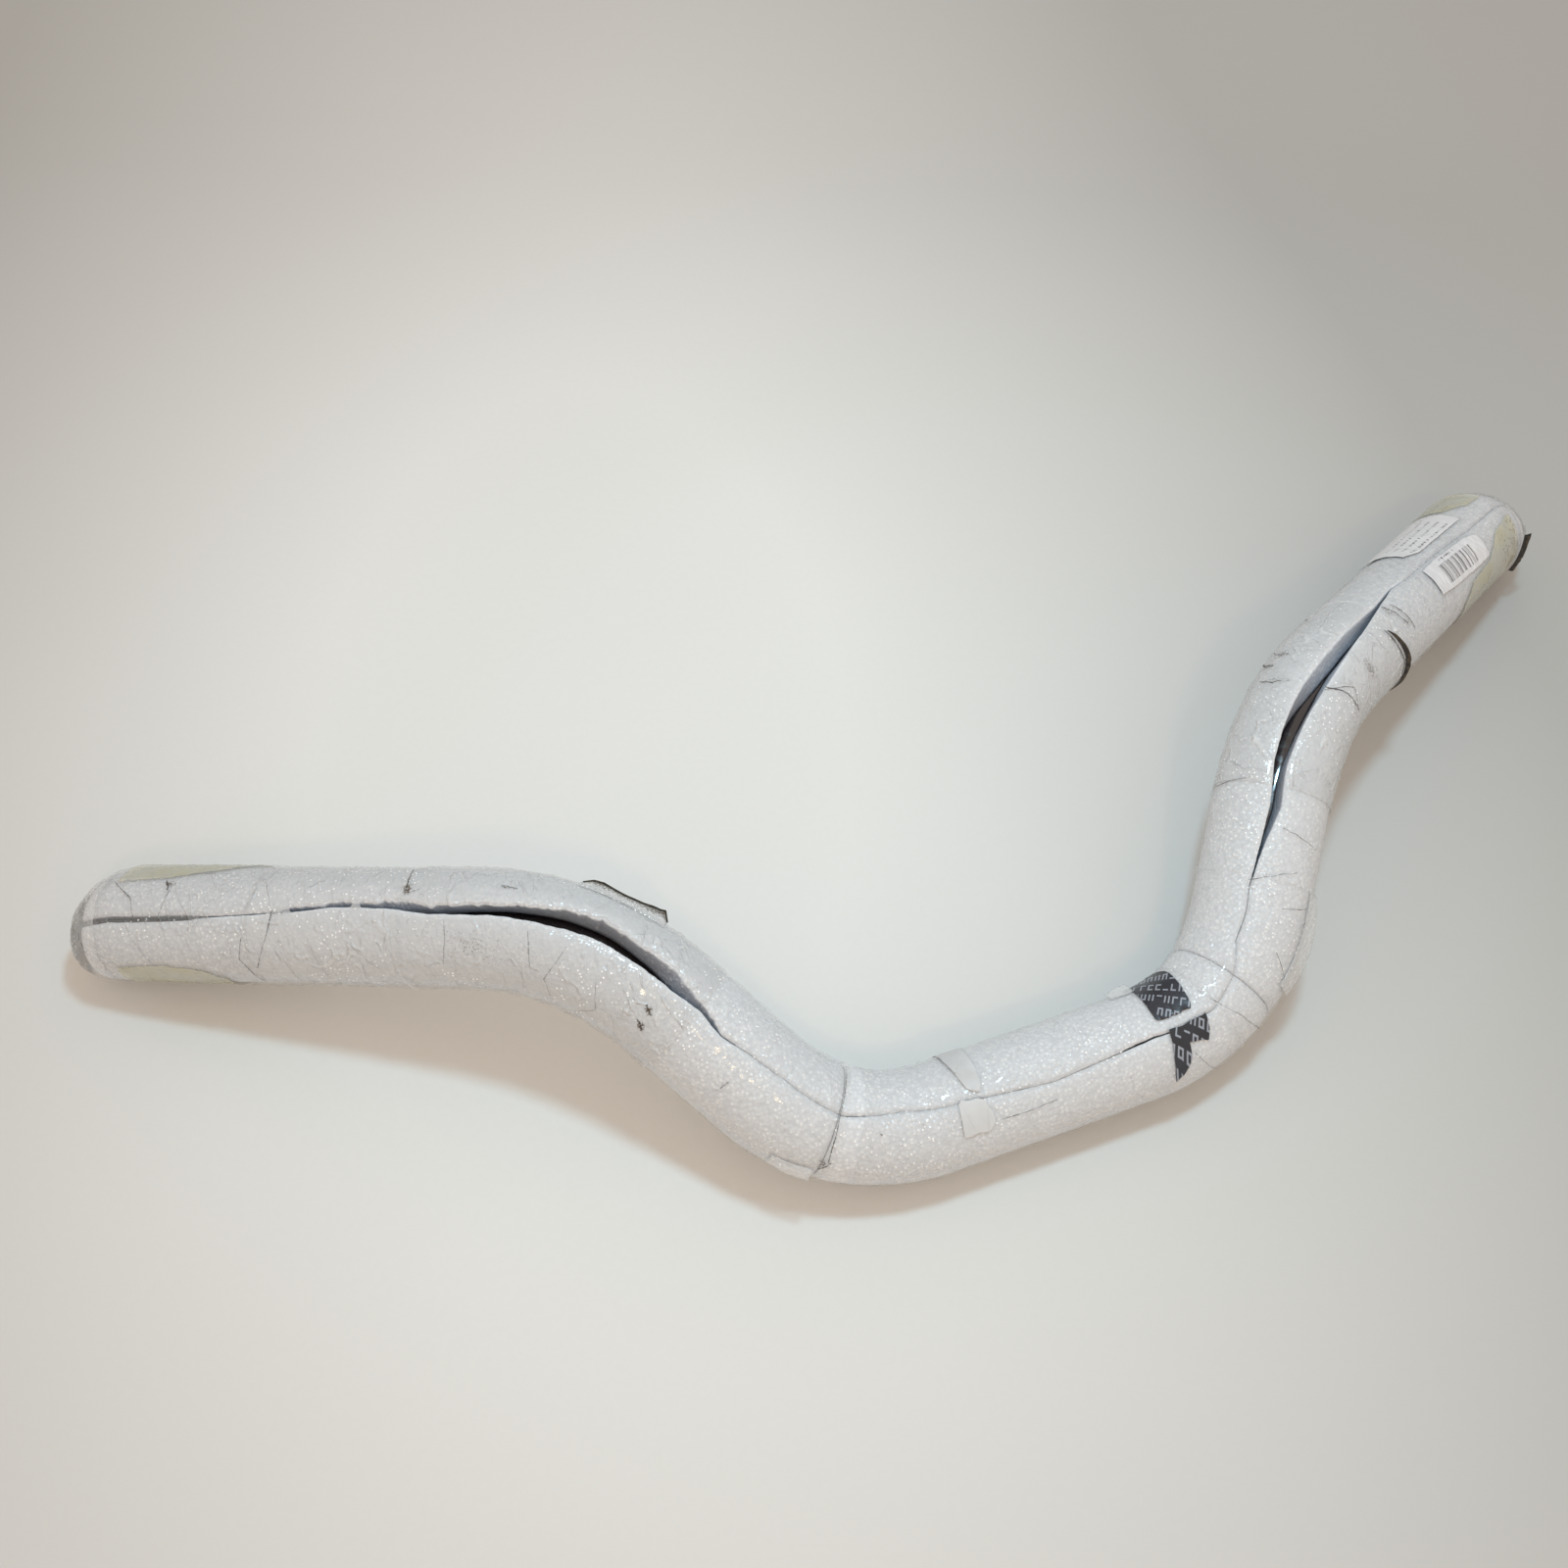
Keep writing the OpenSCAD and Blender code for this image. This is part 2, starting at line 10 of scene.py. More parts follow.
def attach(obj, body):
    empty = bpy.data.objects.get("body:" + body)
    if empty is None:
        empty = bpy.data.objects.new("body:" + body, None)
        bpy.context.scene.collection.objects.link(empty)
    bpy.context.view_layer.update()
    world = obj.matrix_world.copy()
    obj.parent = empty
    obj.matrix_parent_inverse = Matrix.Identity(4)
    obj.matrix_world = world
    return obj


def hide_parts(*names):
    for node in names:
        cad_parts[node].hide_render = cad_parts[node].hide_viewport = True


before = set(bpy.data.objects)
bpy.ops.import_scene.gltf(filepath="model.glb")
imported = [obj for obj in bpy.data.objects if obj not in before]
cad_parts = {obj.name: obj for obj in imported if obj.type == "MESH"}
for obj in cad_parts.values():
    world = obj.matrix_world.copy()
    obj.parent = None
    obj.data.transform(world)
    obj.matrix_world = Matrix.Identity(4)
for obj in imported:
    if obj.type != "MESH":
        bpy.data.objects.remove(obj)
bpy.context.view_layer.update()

bl_info = {
    "name": "Wrapped handlebar",
    "version": (1, 0, 0),
    "blender": (4, 5, 0),
    "location": "3D View > Sidebar > Handlebar",
    "description": "Builds the foam, tape and scraps round a bent handlebar tube",
    "category": "Add Mesh",
}

MM = 0.001

# Over the foam: the tape's mean height, the least gap under it, and the height of the scraps on it
FILM_H = 0.75 * MM
FILM_GAP = 0.35 * MM
SCRAP_H = 1.1 * MM
# Thickness of one sheet of tape or paper, and of a folded one
SHEET = 0.1 * MM
FOLDED_SHEET = 0.12 * MM
# The bunched tip: how far it reaches past the tube, where the wrap starts to narrow, and how far it sags
TIP_REACH = 14 * MM
NARROWS_BEFORE_END = 22 * MM
TIP_SAG = 6.35 * MM
TIP_FORWARD_LEFT, TIP_FORWARD_RIGHT = 4 * MM, 9 * MM
# Where the foam grows from the centre's radius to the arms', past the start of a lower bend
GROWS_AFTER, GROWS_OVER = 25 * MM, 60 * MM
# Spacing of the rings of points along the bar
FOAM_STEP, FILM_STEP = 1.3 * MM, 1.6 * MM
# The narrowest that half the slit gets, in mm
HALF_SLIT_MIN = 0.1

CELLS_PER_METRE = 520.0
FINE_SPECKS, COARSE_SPECKS = 1100.0, 600.0
WHITE = (1, 1, 1, 1)

# Where the slit runs: distance along the bar and angle round it, in mm and degrees
SLIT_LINE = [
    (-520, 26), (-465, 24), (-430, 21), (-395, 16), (-381, 12), (-360, 6), (-331, 6), (-312, 10.5),
    (-290, 10), (-272, 6), (-257, 1), (-241, -4), (-224, -2), (-208, -2), (-189, -1), (-175, 7),
    (-160, 3), (-141, 0), (-106, 12), (-76, 4), (-38, 13), (0, 22), (32, 17), (54, 13), (87, 18),
    (108, 8), (125, -10), (155, -15), (171, -12), (197, -5), (216, -8), (241, -5), (266, 0), (280, 1),
    (302, -1), (327, -4), (349, -8), (364, -4), (387, -3), (408, -1), (442, 5), (520, 10),
]
# How wide the slit gapes, in mm, along the bar
GAPE = [
    (-520, 2.4), (-496, 3.2), (-440, 3.0), (-428, 0.7), (-395, 0.7), (-390, 2.0), (-345, 3.2),
    (-320, 4.0), (-300, 4.2), (-285, 4.8), (-272, 6.5), (-257, 9.4), (-243, 10.2), (-224, 8.8),
    (-208, 8.2), (-200, 6.0), (-189, 3.4), (-175, 1.2), (-165, 0.5), (-140, 0.3), (20, 0.35), (45, 1.0),
    (70, 0.5), (110, 0.3), (150, 0.4), (165, 1.0), (178, 2.2), (197, 5.8), (208, 5.8), (220, 7.0),
    (232, 8.6), (255, 10.4), (268, 10.0), (292, 7.6), (310, 5.4), (328, 2.4), (350, 1.2), (365, 0.5),
    (520, 0.35),
]
# How wide the slit is at the tube, in mm, and how far its middle is turned from the skin's, in degrees
BORE_GAPE = [
    (-510, 0.3), (-492, 2.0), (-430, 1.6), (-424, 0.2), (-330, 0.2), (-318, 2.0), (-300, 5.0),
    (-280, 8.0), (-257, 10.5), (-235, 10.0), (-215, 6.0), (-203, 2.0), (-195, 0.2), (183, 0.2),
    (197, 2.6), (215, 4.6), (230, 6.4), (241, 6.4), (252, 4.4), (264, 1.6), (275, 0.2),
]
BORE_TURN = [
    (-330, 0), (-300, -3), (-257, -3), (-210, 2), (190, -5), (215, -9), (235, -5), (255, 5), (285, 10),
    (330, 6),
]
# How ragged the two lips are torn, in mm, along the bar
TORN_BACK = [
    (-520, 0.1), (-400, 0.3), (-380, 1.2), (-320, 1.5), (-200, 1.3), (-170, 0.4), (160, 0.2), (520, 0.2),
]
TORN_FRONT = [
    (-520, 0.1), (-330, 0.3), (-200, 0.5), (-160, 0.2), (520, 0.15),
]


class BarSizes(bpy.types.PropertyGroup):
    half_centre: bpy.props.FloatProperty(
        name="Half centre", description="From the middle to the corner of a lower bend",
        default=0.103, unit="LENGTH")
    riser: bpy.props.FloatVectorProperty(
        name="Riser", description="How far a riser runs outwards, backwards and upwards",
        default=(0.084, 0.120, 0.060), subtype="TRANSLATION")
    grip: bpy.props.FloatVectorProperty(
        name="Grip", description="How far a grip runs outwards, backwards and upwards",
        default=(0.221, 0.113, -0.058), subtype="TRANSLATION")
    lower_bend: bpy.props.FloatProperty(
        name="Lower bend", description="Radius of a lower bend at the axis", default=0.090, unit="LENGTH")
    upper_bend: bpy.props.FloatProperty(
        name="Upper bend", description="Radius of an upper bend at the axis", default=0.125, unit="LENGTH")
    axis_height: bpy.props.FloatProperty(
        name="Axis height", description="Height of the centre section's axis",
        default=0.02545, unit="LENGTH")
    foam_centre: bpy.props.FloatProperty(
        name="Foam at the centre", description="Outer radius of the foam there",
        default=0.026, unit="LENGTH")
    foam_arm: bpy.props.FloatProperty(
        name="Foam on the arms", description="Outer radius of the foam there",
        default=0.028, unit="LENGTH")
    foam_bore: bpy.props.FloatProperty(
        name="Foam bore", description="Radius of the bore round the tube", default=0.0135, unit="LENGTH")
    tip: bpy.props.FloatProperty(
        name="Tip", description="Radius of the blunt end", default=0.008, unit="LENGTH")
    joint_at: bpy.props.FloatProperty(
        name="Foam joint", description="From the middle to the butt joint of two foam lengths",
        default=0.108, unit="LENGTH")


class WrapColours(bpy.types.PropertyGroup):
    tube: bpy.props.FloatVectorProperty(
        name="Tube", description="Gloss black paint", default=(0.018, 0.012, 0.013), subtype="COLOR")
    foam: bpy.props.FloatVectorProperty(
        name="Foam", description="White closed-cell foam", default=(0.77, 0.78, 0.80), subtype="COLOR")
    film: bpy.props.FloatVectorProperty(
        name="Film", description="Clear tape over the foam", default=(0.80, 0.805, 0.815), subtype="COLOR")
    aged: bpy.props.FloatVectorProperty(
        name="Aged tape", description="Yellowed tape", default=(0.72, 0.69, 0.50), subtype="COLOR")
    paper: bpy.props.FloatVectorProperty(
        name="Paper", description="Labels and paper tape", default=(0.78, 0.78, 0.80), subtype="COLOR")
    black_tape: bpy.props.FloatVectorProperty(
        name="Black tape", description="Torn security tape", default=(0.018, 0.022, 0.035), subtype="COLOR")
    dirt: bpy.props.FloatVectorProperty(
        name="Dirt", description="Dirt caught by the glue", default=(0.075, 0.055, 0.035), subtype="COLOR")


class StageLooks(bpy.types.PropertyGroup):
    floor: bpy.props.FloatVectorProperty(
        name="Floor", description="Colour of the paper sweep",
        default=(0.78, 0.775, 0.755), subtype="COLOR")
    key_power: bpy.props.FloatProperty(
        name="Key", description="Power of the cool lamp overhead", default=4.6, unit="POWER")
    fill_power: bpy.props.FloatProperty(
        name="Fill", description="Power of the warm lamp in front", default=2.1, unit="POWER")
    world: bpy.props.FloatProperty(
        name="World", description="Strength of the even light", default=0.76, min=0, max=2)


# The bar's path

def unit(v):
    return v / np.linalg.norm(v)


class Path:
    """The bar's axis as straight runs and bends, mirrored about its middle. Distances are in metres."""

    def __init__(self, p):
        self.p = p
        self.dirs = [np.array([1.0, 0.0, 0.0]), unit(np.array(p.riser)), unit(np.array(p.grip))]
        self.bends = [p.lower_bend, p.upper_bend]
        turns = [math.acos(float(a @ b)) for a, b in zip(self.dirs, self.dirs[1:])]
        setback = [r * math.tan(t / 2) for r, t in zip(self.bends, turns)]
        runs = [p.half_centre - setback[0], np.linalg.norm(p.riser) - sum(setback),
                np.linalg.norm(p.grip) - setback[1]]
        arcs = [r * t for r, t in zip(self.bends, turns)]
        self.marks = np.cumsum([runs[0], arcs[0], runs[1], arcs[1], runs[2]])
        self.end = float(self.marks[-1])
        self.starts = [np.array([0.0, 0.0, p.axis_height])]
        for k in range(2):
            start = self.starts[-1] + self.dirs[k] * runs[k]
            self.starts.append(start)
            self.starts.append(self.turn(k, start, turns[k])[0])

    def turn(self, k, start, angle):
        """A bend's point and direction after turning through an angle"""
        a, b, r = self.dirs[k], self.dirs[k + 1], self.bends[k]
        inward = unit(np.cross(np.cross(a, b), a))
        point = start + r * (math.sin(angle) * a + (1 - math.cos(angle)) * inward)
        return point, math.cos(angle) * a + math.sin(angle) * inward

    def half(self, s):
        """Point and direction on the right half"""
        m = self.marks
        if s < m[0]:
            return self.starts[0] + s * self.dirs[0], self.dirs[0]
        if s < m[1]:
            return self.turn(0, self.starts[1], (s - m[0]) / self.bends[0])
        if s < m[2]:
            return self.starts[2] + (s - m[1]) * self.dirs[1], self.dirs[1]
        if s < m[3]:
            return self.turn(1, self.starts[3], (s - m[2]) / self.bends[1])
        return self.starts[4] + (s - m[3]) * self.dirs[2], self.dirs[2]

    def at(self, s):
        """Point, up and front directions at a distance along the bar from its middle"""
        point, along = self.half(abs(s))
        if s < 0:
            point, along = point * (-1, 1, 1), -along * (-1, 1, 1)
        up = unit(np.array([0, 0, 1.0]) - along[2] * along)
        return point, up, np.cross(along, up)

    def taper(self, s):
        """0 up to where the wrap narrows, 1 at the tip"""
        start, tip = self.end - NARROWS_BEFORE_END, self.end + TIP_REACH
        return max(0.0, (abs(s) - start) / (tip - start))

    def radius(self, s):
        """Outer radius of the foam: thinner at the centre, blunt at the tips"""
        p = self.p
        grown = ease((abs(s) - self.marks[0] - GROWS_AFTER) / GROWS_OVER)
        body = p.foam_centre + (p.foam_arm - p.foam_centre) * grown
        return p.tip + (body - p.tip) * math.sqrt(max(0.0, 1 - self.taper(s) ** 2.2))

    def skin(self, s, angles, h, lift=0.0):
        """Points round the sleeve at heights over the foam, no lower than lift over the floor"""
        point, up, front = self.at(s)
        t = self.taper(s) ** 1.5
        forward = TIP_FORWARD_LEFT if s < 0 else TIP_FORWARD_RIGHT
        centre = point + forward * t * front - TIP_SAG * t * up
        a = np.radians(angles)[:, None]
        reach = self.radius(s) + np.atleast_1d(h)[:, None]
        points = centre + reach * (np.cos(a) * up + np.sin(a) * front)
        points[:, 2] = np.maximum(points[:, 2], lift)
        return points

    def bore(self, s, angles):
        """Points round the foam's bore"""
        point, up, front = self.at(s)
        a = np.radians(angles)[:, None]
        return point + self.p.foam_bore * (np.cos(a) * up + np.sin(a) * front)


def ease(t):
    t = min(max(t, 0.0), 1.0)
    return t * t * (3 - 2 * t)


def along(s, table):
    """A value read from a table by the distance along the bar"""
    places, values = zip(*table)
    return float(np.interp(s / MM, places, values))


LATTICE_SIZE = 97
LATTICE = np.random.default_rng(7).random((LATTICE_SIZE, LATTICE_SIZE))


def noise(x, y):
    """Smooth values from 0 to 1 over a plane, for arrays of lattice steps"""
    x, y = np.broadcast_arrays(np.asarray(x, float), np.asarray(y, float))
    i, j = np.floor(x).astype(int), np.floor(y).astype(int)
    u, v = x - i, y - j
    u, v = u * u * (3 - 2 * u), v * v * (3 - 2 * v)
    size = LATTICE_SIZE
    corner = [[LATTICE[(i + a) % size, (j + b) % size] for b in (0, 1)] for a in (0, 1)]
    low = corner[0][0] * (1 - u) + corner[1][0] * u
    high = corner[0][1] * (1 - u) + corner[1][1] * u
    return low * (1 - v) + high * v


def ridges(x, y, sharpness=6):
    """Thin raised folds between flat panels"""
    return (1 - np.abs(2 * noise(x, y) - 1)) ** sharpness


def crinkle(s, angles, radius, amount=1.0):
    """Height of the wrinkles in stretched tape, in metres, over a ring of angles"""
    x, y = s / MM, np.radians(angles) * radius / MM
    long_folds = ridges(x / 9 + y / 31, y / 17 - x / 23, 9)
    cross_folds = 0.8 * ridges(x / 6 - y / 11 + 40, y / 14 + x / 19, 10)
    short_folds = 0.7 * ridges(x / 5 + y / 7 + 20, y / 9 - x / 12, 8) * noise(x / 30, y / 30 + 50)
    folds = long_folds + cross_folds + short_folds
    swells, puckers = noise(x / 14, y / 11 + 9), noise(x / 3.1, y / 3.3)
    return amount * MM * (0.42 * folds + 0.25 * swells + 0.12 * puckers)


def from_lips(angles, radius):
    """How far each point of a ring is from the nearer lip, in mm"""
    return np.minimum(angles - angles[0], angles[-1] - angles) * math.pi / 180 * radius / MM


# Shader helpers

class Nodes:
    """A node tree that is built by short calls"""

    def __init__(self, tree):
        self.tree = tree

    def add(self, kind, inputs=None, **settings):
        node = self.tree.nodes.new(kind)
        for key, value in settings.items():
            setattr(node, key, value)
        for key, value in (inputs or {}).items():
            self.put(node, key, value)
        return node

    def put(self, node, key, value):
        if isinstance(value, bpy.types.NodeSocket):
            self.tree.links.new(value, node.inputs[key])
        else:
            node.inputs[key].default_value = value

    def math(self, operation, a, b=0.0, clamp=False):
        return self.add("ShaderNodeMath", {0: a, 1: b}, operation=operation, use_clamp=clamp).outputs[0]

    def times(self, a, b, clamp=False):
        return self.math("MULTIPLY", a, b, clamp)

    def band(self, value, low, high):
        """0 below low and 1 above high"""
        node = self.add("ShaderNodeMapRange", {0: value, 1: low, 2: high}, interpolation_type="SMOOTHSTEP")
        return node.outputs[0]

    def mix(self, factor, a, b):
        node = self.add("ShaderNodeMix", data_type="RGBA")
        for key, value in ((0, factor), (6, a), (7, b)):
            self.put(node, key, value)
        return node.outputs[2]

    def noise(self, vector, scale, detail=2.0):
        inputs = {"Vector": vector, "Scale": scale, "Detail": detail}
        return self.add("ShaderNodeTexNoise", inputs).outputs["Fac"]

    def folds(self, vector, scale, detail, distortion):
        """Sharp ridges that wander and cross"""
        inputs = {"Vector": vector, "Scale": scale, "Detail": detail,
                  "Distortion": distortion, "Offset": 1.0}
        return self.add("ShaderNodeTexNoise", inputs, noise_type="RIDGED_MULTIFRACTAL").outputs["Fac"]

    def here(self):
        """Coordinates in metres that stay with the piece"""
        return self.add("ShaderNodeTexCoord").outputs["Object"]

    def unwrapped(self):
        """A strip's or scrap's own coordinates: along the bar and round it"""
        split = self.add("ShaderNodeSeparateXYZ", {0: self.add("ShaderNodeUVMap").outputs[0]})
        return split.outputs[0], split.outputs[1]

    def group(self, tree, *values):
        """A shared group's node, with a value or a link for each input in order"""
        return self.add("ShaderNodeGroup", dict(enumerate(values)), node_tree=tree)


def rgba(colour, shade=1.0):
    return (*[v * shade for v in colour], 1.0)


def new_group(name, inputs, outputs):
    """A node group with named float inputs and outputs"""
    group = bpy.data.node_groups.new(name, "ShaderNodeTree")
    for title, default in inputs:
        socket = group.interface.new_socket(title, in_out="INPUT", socket_type="NodeSocketFloat")
        socket.default_value = default
    for title in outputs:
        group.interface.new_socket(title, in_out="OUTPUT", socket_type="NodeSocketFloat")
    n = Nodes(group)
    return n, n.add("NodeGroupInput"), n.add("NodeGroupOutput")


def foam_cells():
    """Closed foam cells: small domes, and a mask of a few glinting ones, which get gloss and a painted
    highlight
    """
    if "Foam cells" in bpy.data.node_groups:
        return bpy.data.node_groups["Foam cells"]
    n, given, out = new_group("Foam cells", [("Cells per metre", CELLS_PER_METRE)], ["Height", "Glint"])
    cells = n.add("ShaderNodeTexVoronoi", {"Vector": n.here(), "Scale": given.outputs[0]})
    n.put(out, "Height", n.math("SUBTRACT", 1.0, cells.outputs["Distance"]))
    shade = n.add("ShaderNodeSeparateColor", {0: cells.outputs["Color"]})
    near_middle = n.band(cells.outputs["Distance"], 0.36, 0.2)
    n.put(out, "Glint", n.times(n.band(shade.outputs[0], 0.56, 0.62), near_middle))
    return n.tree


def film_wrinkles():
    """Creases of stretched tape and the foam cells that print through it, with their haze and a mask of
    painted glints
    """
    if "Film wrinkles" in bpy.data.node_groups:
        return bpy.data.node_groups["Film wrinkles"]
    n, given, out = new_group(
        "Film wrinkles", [("Creases", 1.0), ("Cells", 0.5)], ["Height", "Haze", "Glint"])
    here = n.here()
    # Creases that run every way, and in patches finer ones that the pull on the tape has drawn out
    crumpled = n.band(n.folds(here, 55.0, 2.5, 0.25), 1.15, 1.75)
    pull = {"Vector": here, "Rotation": (0.0, 0.0, 0.3), "Scale": (1.0, 0.34, 0.34)}
    turned = n.add("ShaderNodeMapping", pull).outputs[0]
    pulled = n.band(n.folds(turned, 120.0, 2.0, 0.3), 1.15, 1.6)
    pulled = n.times(pulled, n.band(n.noise(here, 22.0), 0.42, 0.58))
    creases = n.times(n.math("ADD", crumpled, pulled), given.outputs[0])
    cells = n.group(foam_cells(), CELLS_PER_METRE)
    print_through = n.times(cells.outputs["Height"], given.outputs[1])
    n.put(out, "Height", n.math("ADD", creases, print_through))
    n.put(out, "Haze", n.times(creases, n.band(n.noise(here, 40.0), 0.35, 0.65)))
    # Painted glints: a mask of dots that clear_film paints white and opaque as highlights
    n.put(out, "Glint", n.times(cells.outputs["Glint"], n.band(n.noise(here, 26.0, 3.0), 0.36, 0.56)))
    return n.tree


def grime():
    """Breaks a painted amount of dirt up into specks"""
    if "Grime" in bpy.data.node_groups:
        return bpy.data.node_groups["Grime"]
    n, given, out = new_group("Grime", [("Amount", 0.0), ("Specks per metre", FINE_SPECKS)], ["Mask"])
    amount, per_metre = given.outputs[0], given.outputs[1]
    limit = n.math("SUBTRACT", 0.72, n.times(amount, 0.42))
    cover = n.math("SUBTRACT", n.noise(n.here(), per_metre, 5.0), limit)
    n.put(out, "Mask", n.times(n.band(cover, 0.0, 0.07), n.times(amount, 1.5, True)))
    return n.tree


def new_material(name, **surface):
    """A material with a Principled surface whose plain values are set on its own sockets"""
    material = bpy.data.materials.new(name)
    material.use_nodes = True
    n = Nodes(material.node_tree)
    shader = n.tree.nodes["Principled BSDF"]
    for key, value in surface.items():
        shader.inputs[key.replace("_", " ")].default_value = value
    return material, n, shader


def bump(n, shader, height, strength, distance):
    node = n.add("ShaderNodeBump", {"Height": height, "Strength": strength, "Distance": distance})
    n.put(shader, "Normal", node.outputs[0])


def painted(n):
    """The amount painted on a mesh's points: dirt on the tape, and painted shade on the foam's cut walls
    and bore
    """
    return n.add("ShaderNodeAttribute", attribute_name="dirt").outputs["Fac"]


def tube_paint(c):
    """Gloss paint, dulled where dust lies"""
    material, n, shader = new_material(
        "Gloss black tube", Metallic=0.0, Coat_Weight=1.0, Coat_Roughness=0.04)
    dust = n.noise(n.here(), 240.0, 4.0)
    n.put(shader, "Base Color", n.mix(n.band(dust, 0.6, 0.9), rgba(c.tube), rgba(c.dirt, 0.5)))
    n.put(shader, "Roughness", n.band(dust, 0.2, 1.3))
    bump(n, shader, dust, strength=0.05, distance=0.0002)
    return material


def foam_skin(c):
    """Foam whose cells show as domes, with painted shade in the grooves between them and a painted
    highlight on a few, and with painted shade on its cut walls
    """
    # Colours of painted shade: in the grooves between the cells, and on the cut walls
    groove_shade, wall_shade = (0.66, 0.67, 0.695, 1), (0.47, 0.50, 0.555, 1)
    material, n, shader = new_material("White foam", Coat_Roughness=0.12, Subsurface_Weight=0.6,
                                       Subsurface_Scale=0.006, Subsurface_Radius=(1.0, 0.95, 0.9))
    cells = n.group(foam_cells(), CELLS_PER_METRE)
    cloud = n.band(n.noise(n.here(), 35.0, 3.0), 0.3, 0.7)
    tone = n.mix(cloud, rgba(c.foam), rgba(c.foam, 0.95))
    # Painted shade in the grooves between the cells, where the domes are low
    tone = n.mix(n.band(cells.outputs["Height"], 0.2, 0.75), groove_shade, tone)
    # Painted shade on the cut walls and the bore, in a darker blue-grey than the foam
    tone = n.mix(painted(n), tone, wall_shade)
    # Painted highlight: the few glinting cells turn white in their middles, and also get a glossy coat
    # below
    n.put(shader, "Base Color", n.mix(cells.outputs["Glint"], tone, WHITE))
    n.put(shader, "Roughness", n.math("SUBTRACT", 0.55, n.times(cells.outputs["Glint"], 0.4)))
    n.put(shader, "Coat Weight", cells.outputs["Glint"])
    bump(n, shader, cells.outputs["Height"], strength=0.55, distance=0.0006)
    return material


def clear_film(c, name, cover, dirty=1.0, cells=0.6, creases=0.4, grey=1.0):
    """Clear tape: whiter where it creases, opaque only at its dirt and at its glints, which are white dots
    painted in as highlights
    """
    creased = (0.9, 0.905, 0.91, 1)
    material, n, shader = new_material(name, Coat_Weight=1.0, Coat_Roughness=0.07, Specular_IOR_Level=0.8)
    folds = n.group(film_wrinkles(), creases, cells)
    mask = n.group(grime(), n.times(painted(n), dirty), FINE_SPECKS).outputs["Mask"]
    haze, painted_glint = folds.outputs["Haze"], folds.outputs["Glint"]
    tone = n.mix(n.times(haze, 0.5), rgba(c.film, grey), creased)
    # Painted highlight: white dots where the glint mask is, made opaque in the alpha below
    n.put(shader, "Base Color", n.mix(mask, n.mix(painted_glint, tone, WHITE), rgba(c.dirt)))
    n.put(shader, "Roughness", n.math("ADD", 0.2, n.times(haze, 0.3)))
    veil = n.math("ADD", cover, n.times(haze, 0.25))
    n.put(shader, "Alpha", n.math("MAXIMUM", n.math("MAXIMUM", veil, painted_glint), mask))
    bump(n, shader, folds.outputs["Height"], strength=1.0, distance=0.0007)
    return material


def solid_tape(c, name, colour, worn, roughness, coat, cover=1.0):
    """Tape or paper with a wrinkled glossy film over it. Returns what a print needs as well."""
    material, n, shader = new_material(name, Coat_Roughness=0.08, Alpha=cover)
    folds = n.group(film_wrinkles(), 0.8, 0.1)
    dirt = n.group(grime(), painted(n), COARSE_SPECKS)
    cloud = n.band(n.noise(n.here(), 70.0, 4.0), 0.35, 0.7)
    tone = n.mix(cloud, rgba(colour), rgba(worn))
    n.put(shader, "Base Color", n.mix(dirt.outputs["Mask"], tone, rgba(c.dirt)))
    n.put(shader, "Roughness", n.math("ADD", roughness, n.times(folds.outputs["Haze"], 0.25)))
    n.put(shader, "Coat Weight", n.math("SUBTRACT", coat, n.times(folds.outputs["Haze"], 0.3)))
    bump(n, shader, folds.outputs["Height"], strength=0.7, distance=0.0004)
    return material, n, shader, tone


def bunched_film(c):
    """Clear tape that turns grey and opaque where it is bunched at the tip"""
    bunched = (0.40, 0.385, 0.355, 1)
    material = clear_film(c, "Bunched tape", cover=0.35, dirty=0.5, cells=0.1, creases=1.0)
    n = Nodes(material.node_tree)
    shader = n.tree.nodes["Principled BSDF"]
    streaks = n.times(n.math("SUBTRACT", n.noise(n.here(), 160.0, 4.0), 0.5), 1.1)
    tip = n.band(n.math("ADD", painted(n), streaks), 0.1, 1.0)
    under, veil = (shader.inputs[key].links[0].from_socket for key in ("Base Color", "Alpha"))
    n.put(shader, "Base Color", n.mix(n.times(tip, 0.85), under, bunched))
    n.put(shader, "Alpha", n.math("MAXIMUM", veil, tip))
    return material


def stripes(n, across, count, seed):
    """Plain bars of uneven width, 1 on a bar, across a 0 to 1 coordinate"""
    cell = n.add("ShaderNodeTexWhiteNoise", noise_dimensions="1D")
    steps = n.times(across, count)
    n.put(cell, "W", n.math("ADD", n.math("FLOOR", steps), seed))
    width = n.times(cell.outputs["Value"], 0.85)
    return n.math("LESS_THAN", n.math("FRACT", steps), width)


def inside(n, value, low, high):
    """1 where a value lies between two limits"""
    return n.times(n.math("GREATER_THAN", value, low), n.math("LESS_THAN", value, high))


def print_on(n, shader, tone, ink_mask, ink):
    """Lays plain marks over a material's colour"""
    n.put(shader, "Base Color", n.mix(ink_mask, tone, rgba(ink)))


# Mesh helpers

